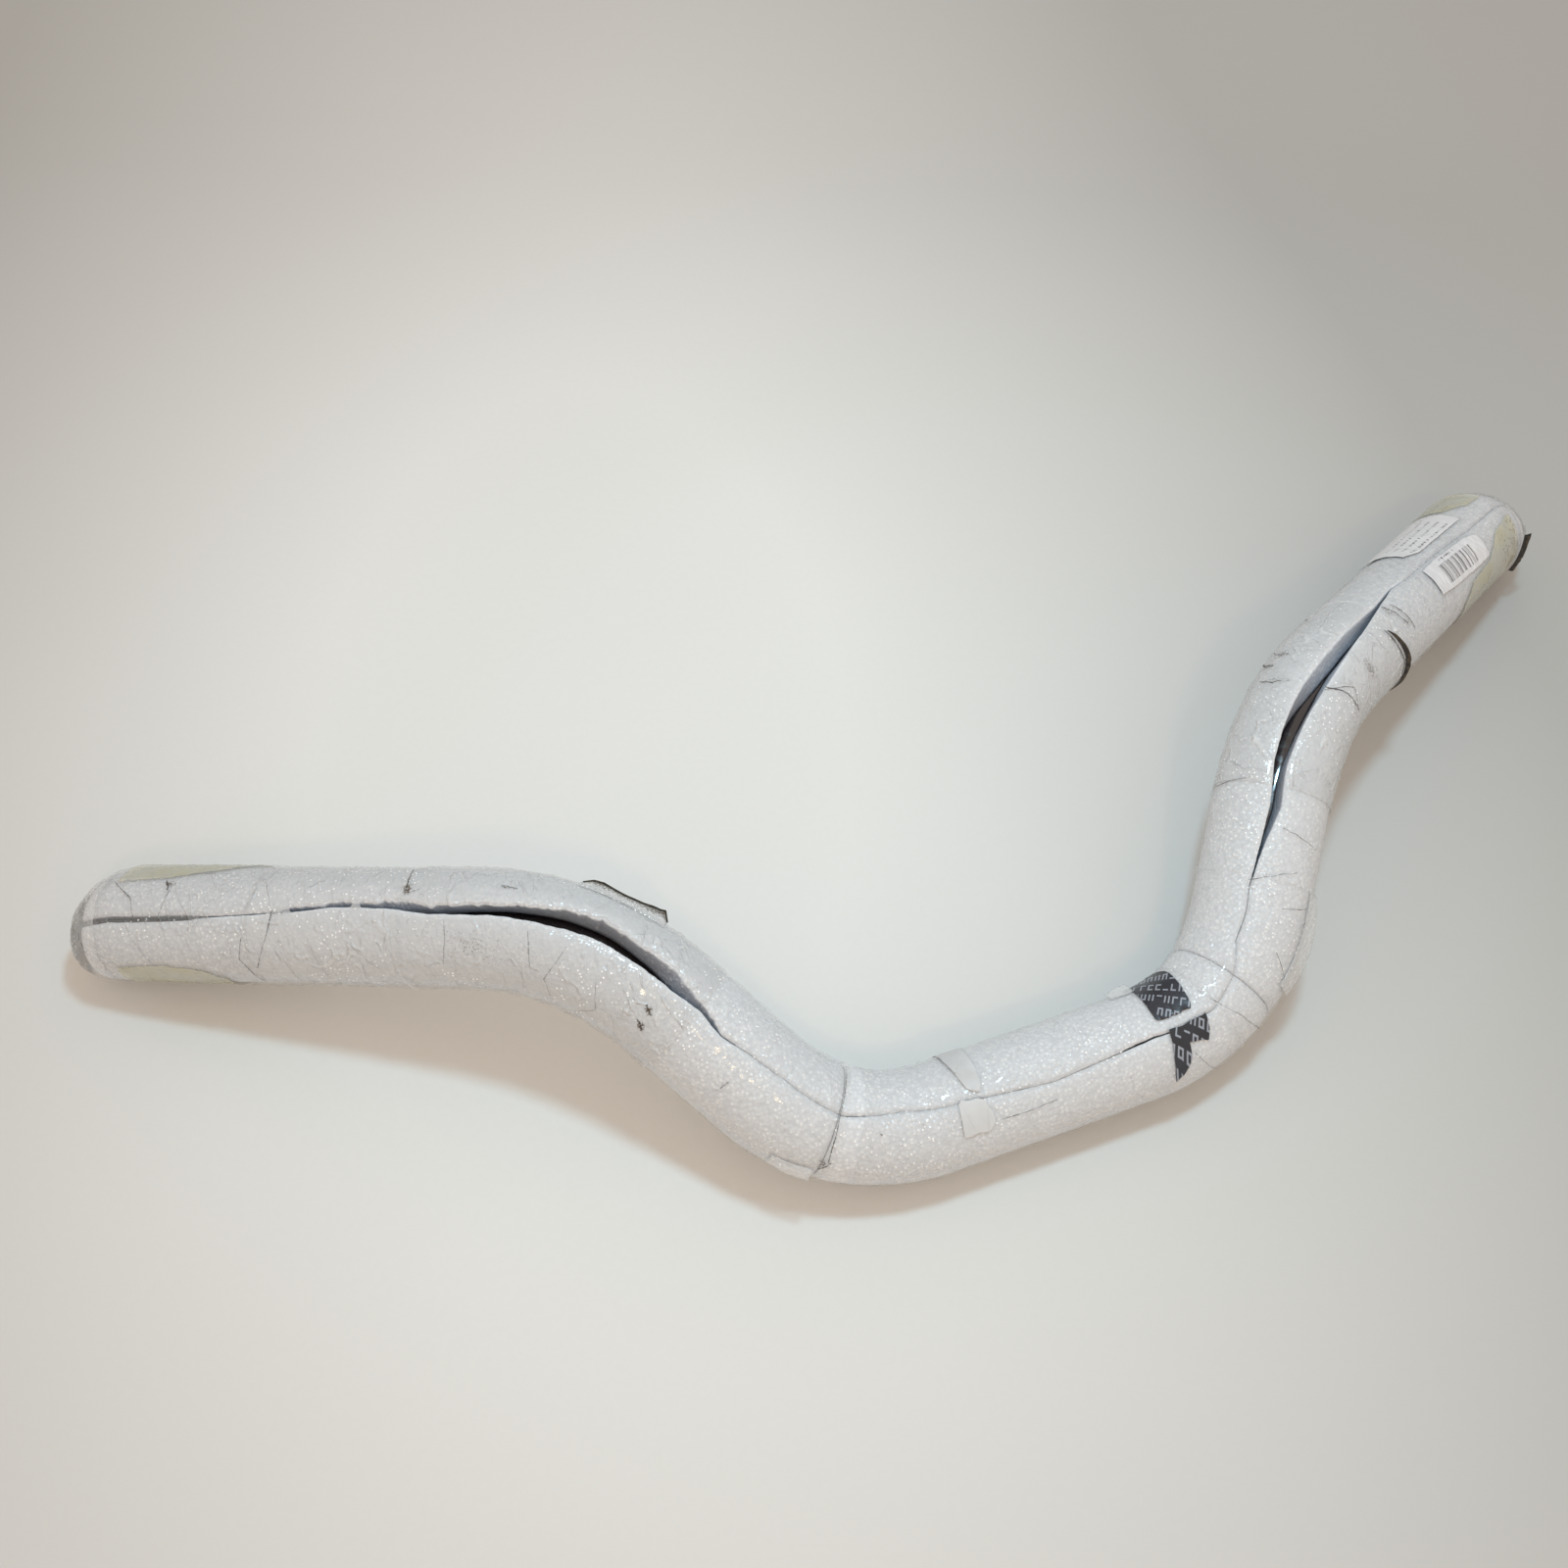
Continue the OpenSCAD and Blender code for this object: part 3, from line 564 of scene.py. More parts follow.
def grid_mesh(name, rows, uv=None, closed=False, dirt=None):
    """A mesh over rows of points, each row as long as the next. closed joins each row's ends."""
    count, width = len(rows), len(rows[0])
    wide = width if closed else width - 1
    i, j = np.meshgrid(np.arange(count - 1), np.arange(wide), indexing="ij")
    k = (j + 1) % width
    this, after = i * width, (i + 1) * width
    faces = np.stack([this + j, this + k, after + k, after + j], -1).reshape(-1, 4)
    mesh = bpy.data.meshes.new(name)
    mesh.from_pydata(np.concatenate(rows).tolist(), [], faces.tolist())
    if uv is not None:
        layer = mesh.uv_layers.new(name="along_and_round")
        corners = np.empty(len(mesh.loops), dtype=np.int32)
        mesh.loops.foreach_get("vertex_index", corners)
        layer.data.foreach_set("uv", np.concatenate(uv)[corners].ravel().astype(np.float32))
    values = np.zeros(len(mesh.vertices)) if dirt is None else np.concatenate(dirt)
    mesh.attributes.new("dirt", "FLOAT", "POINT").data.foreach_set("value", values.astype(np.float32))
    mesh.polygons.foreach_set("use_smooth", [True] * len(mesh.polygons))
    return mesh


def close_ends(mesh, width, outer, inner):
    """Caps both ends of a C-shaped sweep whose rings hold an outer arc, a wall, an inner arc and a wall"""
    bm = bmesh.new()
    bm.from_mesh(mesh)
    bm.verts.ensure_lookup_table()
    total = len(bm.verts)
    for base, turned in ((0, False), (total - width, True)):
        for k in range(outer - 1):
            a, b = base + k, base + k + 1
            c, d = base + inner - k - 1, base + inner - k
            corners = [bm.verts[q] for q in ((a, d, c, b) if turned else (a, b, c, d))]
            bm.faces.new(corners)
    bmesh.ops.recalc_face_normals(bm, faces=bm.faces)
    bm.to_mesh(mesh)
    bm.free()


def joined_mesh(name, meshes):
    """One mesh of several"""
    bm = bmesh.new()
    for mesh in meshes:
        bm.from_mesh(mesh)
        bpy.data.meshes.remove(mesh)
    whole = bpy.data.meshes.new(name)
    bm.to_mesh(whole)
    bm.free()
    return whole


def place(mesh, material, stands_for=(), thickness=0.0):
    """Puts a piece in the scene, on the part's one body"""
    piece = bpy.data.objects.new(mesh.name, mesh)
    bpy.context.scene.collection.objects.link(piece)
    mesh.materials.append(material)
    if thickness:
        skin = piece.modifiers.new("thickness", "SOLIDIFY")
        skin.thickness, skin.offset = thickness, 1.0
    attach(piece, "root")
    if stands_for:
        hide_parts(*stands_for)
    return piece


def current():
    """The bar's path and the colours, as the panel's values have them now"""
    scene = bpy.context.scene
    return Path(scene.bar_sizes), scene.wrap_colours


# Stains that dirt and age leave in the tape: distance along the bar and angle round it, the reach in
# both, in mm and degrees, and the strength
STAINS = [
    (-273, 48, 30, 26, 0.34), (-251, 40, 14, 16, 0.25), (-325, -10, 3, 9, 0.8), (-316, -4, 3, 4, 0.6),
    (-281, -16, 5, 2.5, 0.7), (-270, -62, 1.5, 3, 0.9), (-213, -66, 1.5, 4, 0.9), (-207, 33, 3, 5, 0.85),
    (-205, 49, 3, 5, 0.9), (-160, 39, 1.5, 3, 0.7), (-407, 60, 3, 18, 0.35), (-499, 50, 4, 22, 0.4),
    (-476, -12, 3, 9, 0.45), (-452, -14, 5, 4, 0.7), (-396, 40, 3, 20, 0.3), (-302, 30, 2, 3, 0.6),
    (-108, 64, 2, 7, 0.8), (-43, -24, 3, 9, 0.4), (-87, 26, 0.9, 2, 0.9), (64, 60, 4, 8, 0.35),
    (255, -42, 4, 22, 0.5), (271, -52, 5, 14, 0.6), (304, -62, 2, 5, 0.6), (328, 10, 7, 14, 0.5),
    (335, 32, 5, 12, 0.45), (286, 38, 6, 20, 0.62), (259, 24, 3, 20, 0.5), (250, 34, 4, 9, 0.3),
    (203, -60, 2, 24, 0.35), (185, 26, 2, 20, 0.3), (163, 4, 2, 22, 0.4), (110, 60, 5, 22, 0.35),
    (97, 70, 3, 10, 0.4), (440, 74, 16, 22, 0.4), (468, 60, 12, 34, 0.45), (320, 60, 4, 30, 0.4),
    (266, -64, 4, 14, 0.6), (-476, -60, 20, 30, 0.3), (-470, 96, 30, 20, 0.25), (-290, 44, 16, 20, 0.45),
    (-500, 30, 10, 50, 0.4), (-480, 70, 12, 24, 0.35), (345, 40, 10, 30, 0.32), (480, 30, 8, 50, 0.45),
]


def stained(s, angles):
    """How dirty the tape is at each angle of a ring, from 0 to 1"""
    dirt = np.zeros(len(angles))
    for at, turn, reach_s, reach_a, strength in STAINS:
        away = ((s / MM - at) / reach_s) ** 2
        if away < 6:
            gap = (np.asarray(angles) - turn + 180) % 360 - 180
            dirt = np.maximum(dirt, strength * np.exp(-away - (gap / reach_a) ** 2))
    return dirt


def lips(s, radius, cut_back=0.0):
    """Angles of the front and back lips of the slit, torn as they are, at a radius"""
    middle, half = along(s, SLIT_LINE), along(s, GAPE) / 2
    x = s / MM
    back_tear = noise(x / 3.5, 3.0) + 0.9 * noise(x / 1.5, 8.0) - 0.9
    front_tear = noise(x / 4.0, 21.0) + 0.6 * noise(x / 1.4, 33.0) - 0.8
    back = half + along(s, TORN_BACK) * back_tear + cut_back
    front = half + along(s, TORN_FRONT) * front_tear + cut_back
    widths = [max(HALF_SLIT_MIN, float(width)) * MM for width in (front, back)]
    turn = [math.degrees(math.asin(min(0.9, width / radius))) for width in widths]
    return middle + turn[0], middle - turn[1] + 360


def foam_piece(path, name, start, end):
    """A slit length of foam with soft bumps, rounded torn lips and a bore"""
    across, wall = 84, 6
    bumps, round_lip, butt = 0.45 * MM, 0.6 * MM, 0.9 * MM
    rows = []
    for s in np.linspace(start, end, max(2, int((end - start) / FOAM_STEP))):
        r, x = path.radius(s), s / MM
        front, back = lips(s, r)
        angles = np.linspace(front, back, across)
        swell = bumps * (noise(x / 22, np.sin(np.radians(angles)) * 2 + 5) - 0.6)
        swell -= round_lip * np.exp(-from_lips(angles, r) / 0.7)
        pinch = min(abs(abs(s) - path.p.joint_at) / (7 * MM), 1.0)
        swell -= butt * (1 - ease(pinch))
        outer = path.skin(s, angles, swell, FILM_H)
        middle = along(s, SLIT_LINE) + along(s, BORE_TURN)
        turn = math.degrees(math.asin(along(s, BORE_GAPE) / 2 * MM / path.p.foam_bore))
        inner = path.bore(s, np.linspace(middle - turn + 360, middle + turn, across))
        t = (np.arange(1, wall) / wall)[:, None]
        rough = 0.28 * MM * (noise(x / 1.7, np.arange(1, wall) * 1.9)[:, None] - 0.5)
        sideways = rough * (outer[-1] - outer[0]) / (2 * r)
        down = outer[-1] * (1 - t) + inner[0] * t + sideways
        up = inner[-1] * (1 - t) + outer[0] * t - sideways
        rows.append(np.concatenate([outer, down, inner, up]))
    ring = len(rows[0])
    # 1 on the cut walls and the bore, where foam_skin paints shade over the white foam
    cut = np.concatenate([np.zeros(across), np.ones(ring - across)])
    mesh = grid_mesh(name, rows, closed=True, dirt=[cut] * len(rows))
    close_ends(mesh, ring, across, 2 * across + wall - 2)
    return mesh


def film_piece(path, name, start, end, lap, covers=()):
    """A turn of tape round the sleeve, wrinkled, with its cut edge along the slit"""
    rows, uv, dirt = [], [], []
    round_count, edge_lift, lip_drop = 120, 0.25 * MM, 0.5 * MM
    for s in np.linspace(start, end, max(2, int((end - start) / FILM_STEP))):
        r, x = path.radius(s), s / MM
        if any(low < x < high for low, high in covers):
            front, back = along(s, SLIT_LINE), along(s, SLIT_LINE) + 360
        else:
            front, back = lips(s, r, 0.5 + 0.5 * float(noise(x / 5, 50.0)))
        angles = np.linspace(front, back, round_count)
        edge = min(s - start, end - s) / MM
        h = FILM_GAP + lap + crinkle(s, angles, r) + edge_lift * math.exp(-edge / 1.5)
        h = h - lip_drop * np.exp(-from_lips(angles, r) / 1.2)
        rows.append(path.skin(s, angles, h))
        uv.append(np.stack([np.full(round_count, s), np.radians(angles) * r], -1))
        rim = 0.42 * math.exp(-edge / 0.9) * noise(x / 2 + angles / 9, angles / 6)
        dirt.append(np.maximum(stained(s, angles), rim))
    return grid_mesh(name, rows, uv, dirt=dirt)


def scrap_mesh(path, name, outline, step=1.0, columns=40, torn=0.6, wrinkle=0.5):
    """A patch on the tape. Each outline row is (distance, first angle, last angle), in mm and degrees."""
    places, first, last = (np.array(v, float) for v in zip(*outline))
    rows, uv, dirt = [], [], []
    for x in np.arange(places[0], places[-1] + 1e-6, step):
        a = float(np.interp(x, places, first)) + torn * 2 * (float(noise(x / 2.3, 61.0)) - 0.5)
        b = float(np.interp(x, places, last)) + torn * 2 * (float(noise(x / 2.1, 71.0)) - 0.5)
        s, angles = x * MM, np.linspace(a, b, columns)
        h = SCRAP_H + crinkle(s, angles, path.radius(s), wrinkle) - SHEET
        rows.append(path.skin(s, angles, h))
        share = (x - places[0]) / (places[-1] - places[0])
        uv.append(np.stack([np.full(columns, share), np.linspace(0, 1, columns)], -1))
        dirt.append(stained(s, angles))
    return grid_mesh(name, rows, uv, dirt=dirt)


def loose_mesh(path, name, grid):
    """A loose flap. Each row of the grid is a list of (distance, angle, height), in mm and degrees."""
    fine, curl = 6, 0.6
    g = np.array(grid, float)
    u = np.linspace(0, g.shape[0] - 1, (g.shape[0] - 1) * fine + 1)
    v = np.linspace(0, g.shape[1] - 1, (g.shape[1] - 1) * fine + 1)
    rows, dirt = [], []
    for a in u:
        i = min(int(a), g.shape[0] - 2)
        line = g[i] * (1 - (a - i)) + g[i + 1] * (a - i)
        row = []
        for b in v:
            j = min(int(b), g.shape[1] - 2)
            s, turn, h = line[j] * (1 - (b - j)) + line[j + 1] * (b - j)
            ripple = curl * (float(noise(a * 1.7 + 3, b * 1.3)) - 0.5) * b / v[-1]
            row.append(path.skin(s * MM, np.array([turn]), (h + ripple) * MM + SCRAP_H)[0])
        rows.append(np.array(row))
        dirt.append(np.array([0.35 + 0.55 * (b / v[-1]) ** 2 for b in v]))
    return grid_mesh(name, rows, dirt=dirt)


def closure_mesh(path, name, side):
    """Bunched tape over an end: folds that run together at the tip"""
    tip, first = path.end + TIP_REACH, path.end - 13 * MM
    rows, dirt = [], []
    steps, count, round_off = 56, 200, 0.88
    angles = np.linspace(0, 360, count, endpoint=False)
    round_x, round_y = np.sin(np.radians(angles)), np.cos(np.radians(angles))
    ragged = 2.2 * MM * (noise(round_x * 3 + 20, round_y * 3 + side * 5 + 9) - 0.5)
    for k in range(steps + 1):
        t = k / steps
        reach = math.sin(math.pi / 2 * min(1.0, t / round_off))
        past = max(0.0, t - round_off) / (1 - round_off)
        shrink = 1 - math.cos(math.pi / 2 * past) * 0.98 if past else 0.0
        folds = ridges(round_x * 3.5 + 11 + t * 0.8, round_y * 3.5 + side * 3, 3)
        folds = folds + 0.6 * ridges(round_x * 8 + 31, round_y * 8 - t * 1.6 + side * 7, 3)
        creases = ridges(round_x * 5 + t * 4, round_y * 5 + t * 3 + 50, 10)
        relief = MM * (0.15 + 0.95 * reach ** 2) * (folds - 0.55)
        h = FILM_H + FILM_GAP + relief + 0.35 * MM * creases
        row = []
        for angle, height, shift in zip(angles, h, ragged * (1 - reach)):
            s = side * (first + shift + (tip - first) * reach)
            drawn_in = (path.radius(s) + FILM_H) * shrink
            row.append(path.skin(s, np.array([angle]), height - drawn_in)[0])
        rows.append(np.array(row))
        grey = 0.9 * reach ** 2.5 + 0.35 * (1 - np.clip(folds, 0, 1)) * reach
        rim = 0.5 * math.exp(-t * 22) * noise(angles / 5, 4.0)
        dirt.append(np.clip(grey + rim, 0, 1))
    return grid_mesh(name, rows, closed=True, dirt=dirt)


# Operators, one for each group of like pieces

class HANDLEBAR_OT_tube(bpy.types.Operator):
    """Paints the bent tube gloss black"""
    bl_idname = "handlebar.tube"
    bl_label = "Tube"

    def execute(self, context):
        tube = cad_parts["handlebar_tube"]
        tube.data.materials.clear()
        tube.data.materials.append(tube_paint(context.scene.wrap_colours))
        return {"FINISHED"}


class HANDLEBAR_OT_foam(bpy.types.Operator):
    """Makes the three slit lengths of foam"""
    bl_idname = "handlebar.foam"
    bl_label = "Foam sleeves"

    BUTT_GAP, SHORT_OF_END = 0.3 * MM, 3 * MM

    def execute(self, context):
        path, c = current()
        material = foam_skin(c)
        end, joint = path.end - self.SHORT_OF_END, path.p.joint_at
        for name, start, stop in (("left", -end, -joint), ("centre", -joint, joint), ("right", joint, end)):
            mesh = foam_piece(path, f"foam_{name}", start + self.BUTT_GAP, stop - self.BUTT_GAP)
            piece = place(mesh, material, [f"foam_sleeve_{name}"])
        return {"FINISHED"}


class HANDLEBAR_OT_clear_tape(bpy.types.Operator):
    """Wraps the turns of clear tape, each lapped a little over the next"""
    bl_idname = "handlebar.clear_tape"
    bl_label = "Clear tape"

    # Each turn is its name, where it starts and ends, how high it laps over the next, and where it
    # bridges the slit, in mm
    TURNS = [
        ("left_end", -491, -404, 0.25, ((-495, -425),)),
        ("left_grip", -406, -326, 0.0, ((-396, -383), (-352, -346))),
        ("left_bend", -329, -190, 0.25, ()), ("left_riser", -192, -104, 0.0, ((-168, -104),)),
        ("centre", -96, 92, 0.0, ((-96, 36), (62, 92))), ("right_foot", 90, 163, 0.25, ((90, 160),)),
        ("right_riser", 161, 208, 0.0, ()), ("right_bend", 206, 322, 0.25, ()),
        ("right_grip", 320, 491, 0.0, ((362, 495),)),
    ]
    TIGHT = ("left_riser", "centre", "right_foot", "right_riser")
    THIN = ("left_end", "right_grip")

    def execute(self, context):
        path, c = current()
        tight = clear_film(c, "Tight tape", cover=0.26, creases=0.5, cells=0.8)
        crumpled = clear_film(c, "Crumpled tape", cover=0.5, creases=1.0, cells=0.45, grey=0.9)
        thin = clear_film(c, "Thin tape", cover=0.24, creases=1.0, cells=0.45, grey=0.7)
        for name, start, end, lap, covers in self.TURNS:
            mesh = film_piece(path, f"film_{name}", start * MM, end * MM, lap * MM, covers)
            material = tight if name in self.TIGHT else thin if name in self.THIN else crumpled
            place(mesh, material, [f"clear_tape_{name}"])
        return {"FINISHED"}


class HANDLEBAR_OT_ends(bpy.types.Operator):
    """Closes both ends with bunched tape"""
    bl_idname = "handlebar.ends"
    bl_label = "End closures"

    def execute(self, context):
        path, c = current()
        material = bunched_film(c)
        for name, side in (("left", -1), ("right", 1)):
            mesh = closure_mesh(path, f"bunched_{name}", side)
            place(mesh, material, [f"end_closure_{name}"])
        return {"FINISHED"}


class HANDLEBAR_OT_aged_tape(bpy.types.Operator):
    """Lays the yellowed pieces of tape near both ends"""
    bl_idname = "handlebar.aged_tape"
    bl_label = "Yellowed tape"

    PIECES = {
        "left_back": [(-482, -112, -16), (-455, -112, -22), (-430, -112, -36), (-414, -112, -62)],
        "left_front": [(-482, 76, 138), (-455, 72, 138), (-434, 78, 138), (-424, 92, 138)],
        "right_back": [(452, -104, -36), (466, -104, -18), (483, -104, -14)],
        "right_front": [(406, 74, 118), (416, 54, 118), (440, 49, 118), (450, 40, 118), (460, 28, 118),
                        (483, 22, 118)],
    }

    def execute(self, context):
        path, c = current()
        material = solid_tape(c, "Yellowed tape", c.aged, worn=(0.72, 0.715, 0.62),
                              roughness=0.35, coat=0.9, cover=0.42)[0]
        for name, outline in self.PIECES.items():
            mesh = scrap_mesh(path, f"aged_{name}", outline, columns=60)
            place(mesh, material, [f"yellowed_tape_{name}"], SHEET)
        return {"FINISHED"}


class HANDLEBAR_OT_labels(bpy.types.Operator):
    """Lays the cut label: two white pieces with plain bars instead of print"""
    bl_idname = "handlebar.labels"
    bl_label = "Label"

    BACK = [(384, -82, -24), (395, -82, -15), (448, -82, -11)]
    FRONT = [(378, 3, 37), (395, 3, 41), (430, 8, 44), (443, 15, 43)]
    INK = (0.018, 0.018, 0.022)

    def execute(self, context):
        path, c = current()
        for name, outline, columns, paper in (("back", self.BACK, 40, self.dashed(c)),
                                              ("front", self.FRONT, 50, self.barred(c))):
            mesh = scrap_mesh(path, f"label_{name}", outline, columns=columns, torn=0.3)
            place(mesh, paper, [f"label_{name}"], SHEET)
        return {"FINISHED"}

    def dashed(self, c):
        """Paper with rows of dashes, where the real label has small print"""
        material, n, shader, tone = solid_tape(
            c, "Label back", c.paper, worn=(0.72, 0.72, 0.74), roughness=0.35, coat=0.9)
        u, v = n.unwrapped()
        line = n.math("FRACT", n.times(v, 7.0))
        rows = n.times(inside(n, line, 0.35, 0.62), inside(n, v, 0.42, 0.97))
        marks = n.times(n.times(rows, stripes(n, u, count=34.0, seed=5.0)), inside(n, u, 0.12, 0.85))
        print_on(n, shader, tone, n.times(marks, 0.8), self.INK)
        return material

    def barred(self, c):
        """Paper with a block of bars and a short row under it"""
        material, n, shader, tone = solid_tape(
            c, "Label front", c.paper, worn=(0.72, 0.72, 0.75), roughness=0.35, coat=0.9)
        u, v = n.unwrapped()
        block = n.times(inside(n, u, 0.18, 0.78), inside(n, v, 0.22, 0.84))
        bars = n.times(block, stripes(n, u, count=52.0, seed=31.0))
        under = n.times(inside(n, v, 0.06, 0.12), inside(n, u, 0.28, 0.55))
        small = n.times(under, stripes(n, u, count=40.0, seed=77.0))
        print_on(n, shader, tone, n.math("MAXIMUM", bars, small), self.INK)
        return material


class HANDLEBAR_OT_security_tape(bpy.types.Operator):
    """Lays two torn scraps of black tape with plain pale marks"""
    bl_idname = "handlebar.security_tape"
    bl_label = "Security tape"

    SCRAPS = {
        "back": [(57.5, -12, -3), (58.6, -42, -2), (60.5, -72, -1), (62, -90, 0), (70, -92, 1),
                 (78, -86, 3), (80.5, -80, -4), (84, -66, -24), (87, -52, -46)],
        "front": [(57.5, 60, 68), (58.4, 38, 66), (59.5, 30, 64), (61, 12, 63), (64, 12, 56),
                  (66.5, 13, 46), (68, 13, 31), (72, 13, 34), (76.5, 14, 40), (79.5, 14, 30),
                  (82.5, 15, 17)],
    }
    ROWS_PER_METRE, MARKS_PER_METRE = 135.0, 270.0

    def execute(self, context):
        path, c = current()
        material, n, shader, tone = solid_tape(
            c, "Security tape", c.black_tape, worn=(0.012, 0.013, 0.018), roughness=0.4, coat=0.3)
        print_on(n, shader, tone, n.times(self.marks(n), 0.7), (0.42, 0.45, 0.52))
        for name, outline in self.SCRAPS.items():
            mesh = scrap_mesh(path, f"security_{name}", outline, step=0.4, columns=60, torn=0.9)
            place(mesh, material, [f"security_tape_{name}"], FOLDED_SHEET)
        return {"FINISHED"}

    def marks(self, n):
        """Slanting rows of marks. Each has two posts and two beams, some of them left out at random."""
        turned = n.add("ShaderNodeMapping", {"Vector": n.here(), "Rotation": (0.3, 0.2, 0.65)}).outputs[0]
        spot = n.add("ShaderNodeSeparateXYZ", {0: turned})
        down = n.times(spot.outputs[1], self.ROWS_PER_METRE)
        row = n.math("FLOOR", down)
        across = n.math("ADD", n.times(spot.outputs[0], self.MARKS_PER_METRE), n.times(row, 0.4))
        u, v = n.math("FRACT", across), n.math("FRACT", down)
        cell = n.add("ShaderNodeCombineXYZ", {0: n.math("FLOOR", across), 1: row}).outputs[0]
        chance = n.add("ShaderNodeTexWhiteNoise", {"Vector": cell}, noise_dimensions="2D")
        pick = n.add("ShaderNodeSeparateColor", {0: chance.outputs["Color"]}).outputs
        tall, wide = inside(n, v, 0.22, 0.78), inside(n, u, 0.12, 0.79)
        posts = [n.times(inside(n, u, low, low + 0.19), tall) for low in (0.12, 0.60)]
        beams = [n.times(inside(n, v, low, low + 0.12), wide) for low in (0.22, 0.66)]
        marks = n.times(posts[0], n.math("GREATER_THAN", chance.outputs["Value"], 0.12))
        for stroke, channel in ((posts[1], 0), (beams[0], 1), (beams[1], 2)):
            chosen = n.times(stroke, n.math("GREATER_THAN", pick[channel], 0.5))
            marks = n.math("MAXIMUM", marks, chosen)
        return marks


class HANDLEBAR_OT_paper_tape(bpy.types.Operator):
    """Lays two torn scraps of white paper tape"""
    bl_idname = "handlebar.paper_tape"
    bl_label = "Paper tape"

    SCRAPS = {
        "back": [(-45, -84, -44), (-43, -84, -12), (-41.5, -84, 1), (-36, -84, 7), (-34.5, -76, 2),
                 (-33, -70, -22)],
        "front": [(-49.5, 40, 44), (-48, 12, 44), (-46, 9, 45), (-38, 12, 46), (-36, 14, 46), (-34, 26, 40),
                  (-33, 31, 36)],
    }

    def execute(self, context):
        path, c = current()
        material = solid_tape(c, "Paper tape", (0.76, 0.765, 0.775), worn=(0.68, 0.68, 0.68),
                              roughness=0.5, coat=0.4, cover=0.8)[0]
        for name, outline in self.SCRAPS.items():
            mesh = scrap_mesh(path, f"paper_{name}", outline, step=0.6, torn=1.2, wrinkle=0.3)
            place(mesh, material, [f"paper_tape_{name}"], SHEET)
        return {"FINISHED"}


class HANDLEBAR_OT_loose_tape(bpy.types.Operator):
    """Makes the flaps, tabs and curls that stand off the sleeve"""
    bl_idname = "handlebar.loose_tape"
    bl_label = "Loose tape"

    # How high the free edge of each piece stands: distance along the bar and height, in mm
    FLAP = ((-258, 0.3), (-254, 2.5), (-250, 3.2), (-245, 2.2), (-239, 1.8), (-233, 2.3), (-228, 3.3),
            (-224, 4.3), (-221, 0.4))
    TAB = ((46, 1), (52, 3), (60, 3.2))
    SKIRT = ((117, 1), (126, 2.6), (138, 3.6), (150, 3.4), (161, 1.4))
    CORNER = ((-126, 1), (-118, 2.6), (-110, 3.2))

    def execute(self, context):
        path, c = current()
        dirty = clear_film(c, "Dirty loose tape", cover=0.5)
        clean = clear_film(c, "Loose tape", cover=0.45, dirty=0.35)
        black = solid_tape(c, "Blackened edge", (0.012, 0.011, 0.010), worn=(0.04, 0.036, 0.03),
                           roughness=0.65, coat=0.12)[0]
        flap = [[(s, -48, 0), (s, -58, h * 0.3), (s, -68, h)] for s, h in self.FLAP]
        rim = [[(s, -67, h - 0.5), (s, -68.4, h + 0.1), (s, -68, h + 0.6)] for s, h in self.FLAP]
        tab = [[(s, -52, 0), (s, -60, h * 0.5), (s, -68, h)] for s, h in self.TAB]
        skirt = [[(s, 56, 0), (s, 70, h * 0.4), (s, 82, h)] for s, h in self.SKIRT]
        corner = [[(s, 74, 0), (s, 86, h)] for s, h in self.CORNER]
        for name, grid, material, nodes in (
                ("flap_left", flap, dirty, ["loose_flap_left"]),
                ("flap_rim_left", rim, black, []),
                ("lifted_edge", self.lifted(), black, ["lifted_edge_right"]),
                ("tab_centre", tab, clean, ["loose_tab_centre"]),
                ("curl_right", self.curl(), black, ["loose_curl_right"]),
                ("skirt_right", skirt, clean, ["loose_skirt_right"]),
                ("corner_left", corner, clean, ["loose_corner_left"])):
            place(loose_mesh(path, name, grid), material, nodes, FOLDED_SHEET)
        return {"FINISHED"}

    def lifted(self):
        """The blackened edge that stands up across the right bend, highest at its middle"""
        grid = []
        for t in np.linspace(0, 1, 13):
            s, turn = 314.5 + 8 * math.sin(math.pi * t * 0.72), 22 + 84 * t
            wide = 0.15 + 1.9 * math.sin(math.pi * t) ** 0.7
            grid.append([(s, turn, 0.1), (s + wide * 0.6, turn, 0.1 + wide * 0.35),
                         (s + wide, turn, 0.1 + wide)])
        return grid

    def curl(self):
        """The hooked curl beside the right end"""
        grid = []
        for t in np.linspace(0, 1, 11):
            turn, hook = 52 + 46 * t, 2.6 * (1 - t) ** 3
            wide = 0.15 + 1.3 * math.sin(math.pi * t) ** 0.7
            grid.append([(485 - t, turn, 0.9 + hook), (485 + wide, turn, 1.9 + hook),
                         (485.5 + wide, turn - 1, 3.0 + hook * 1.6)])
        return grid


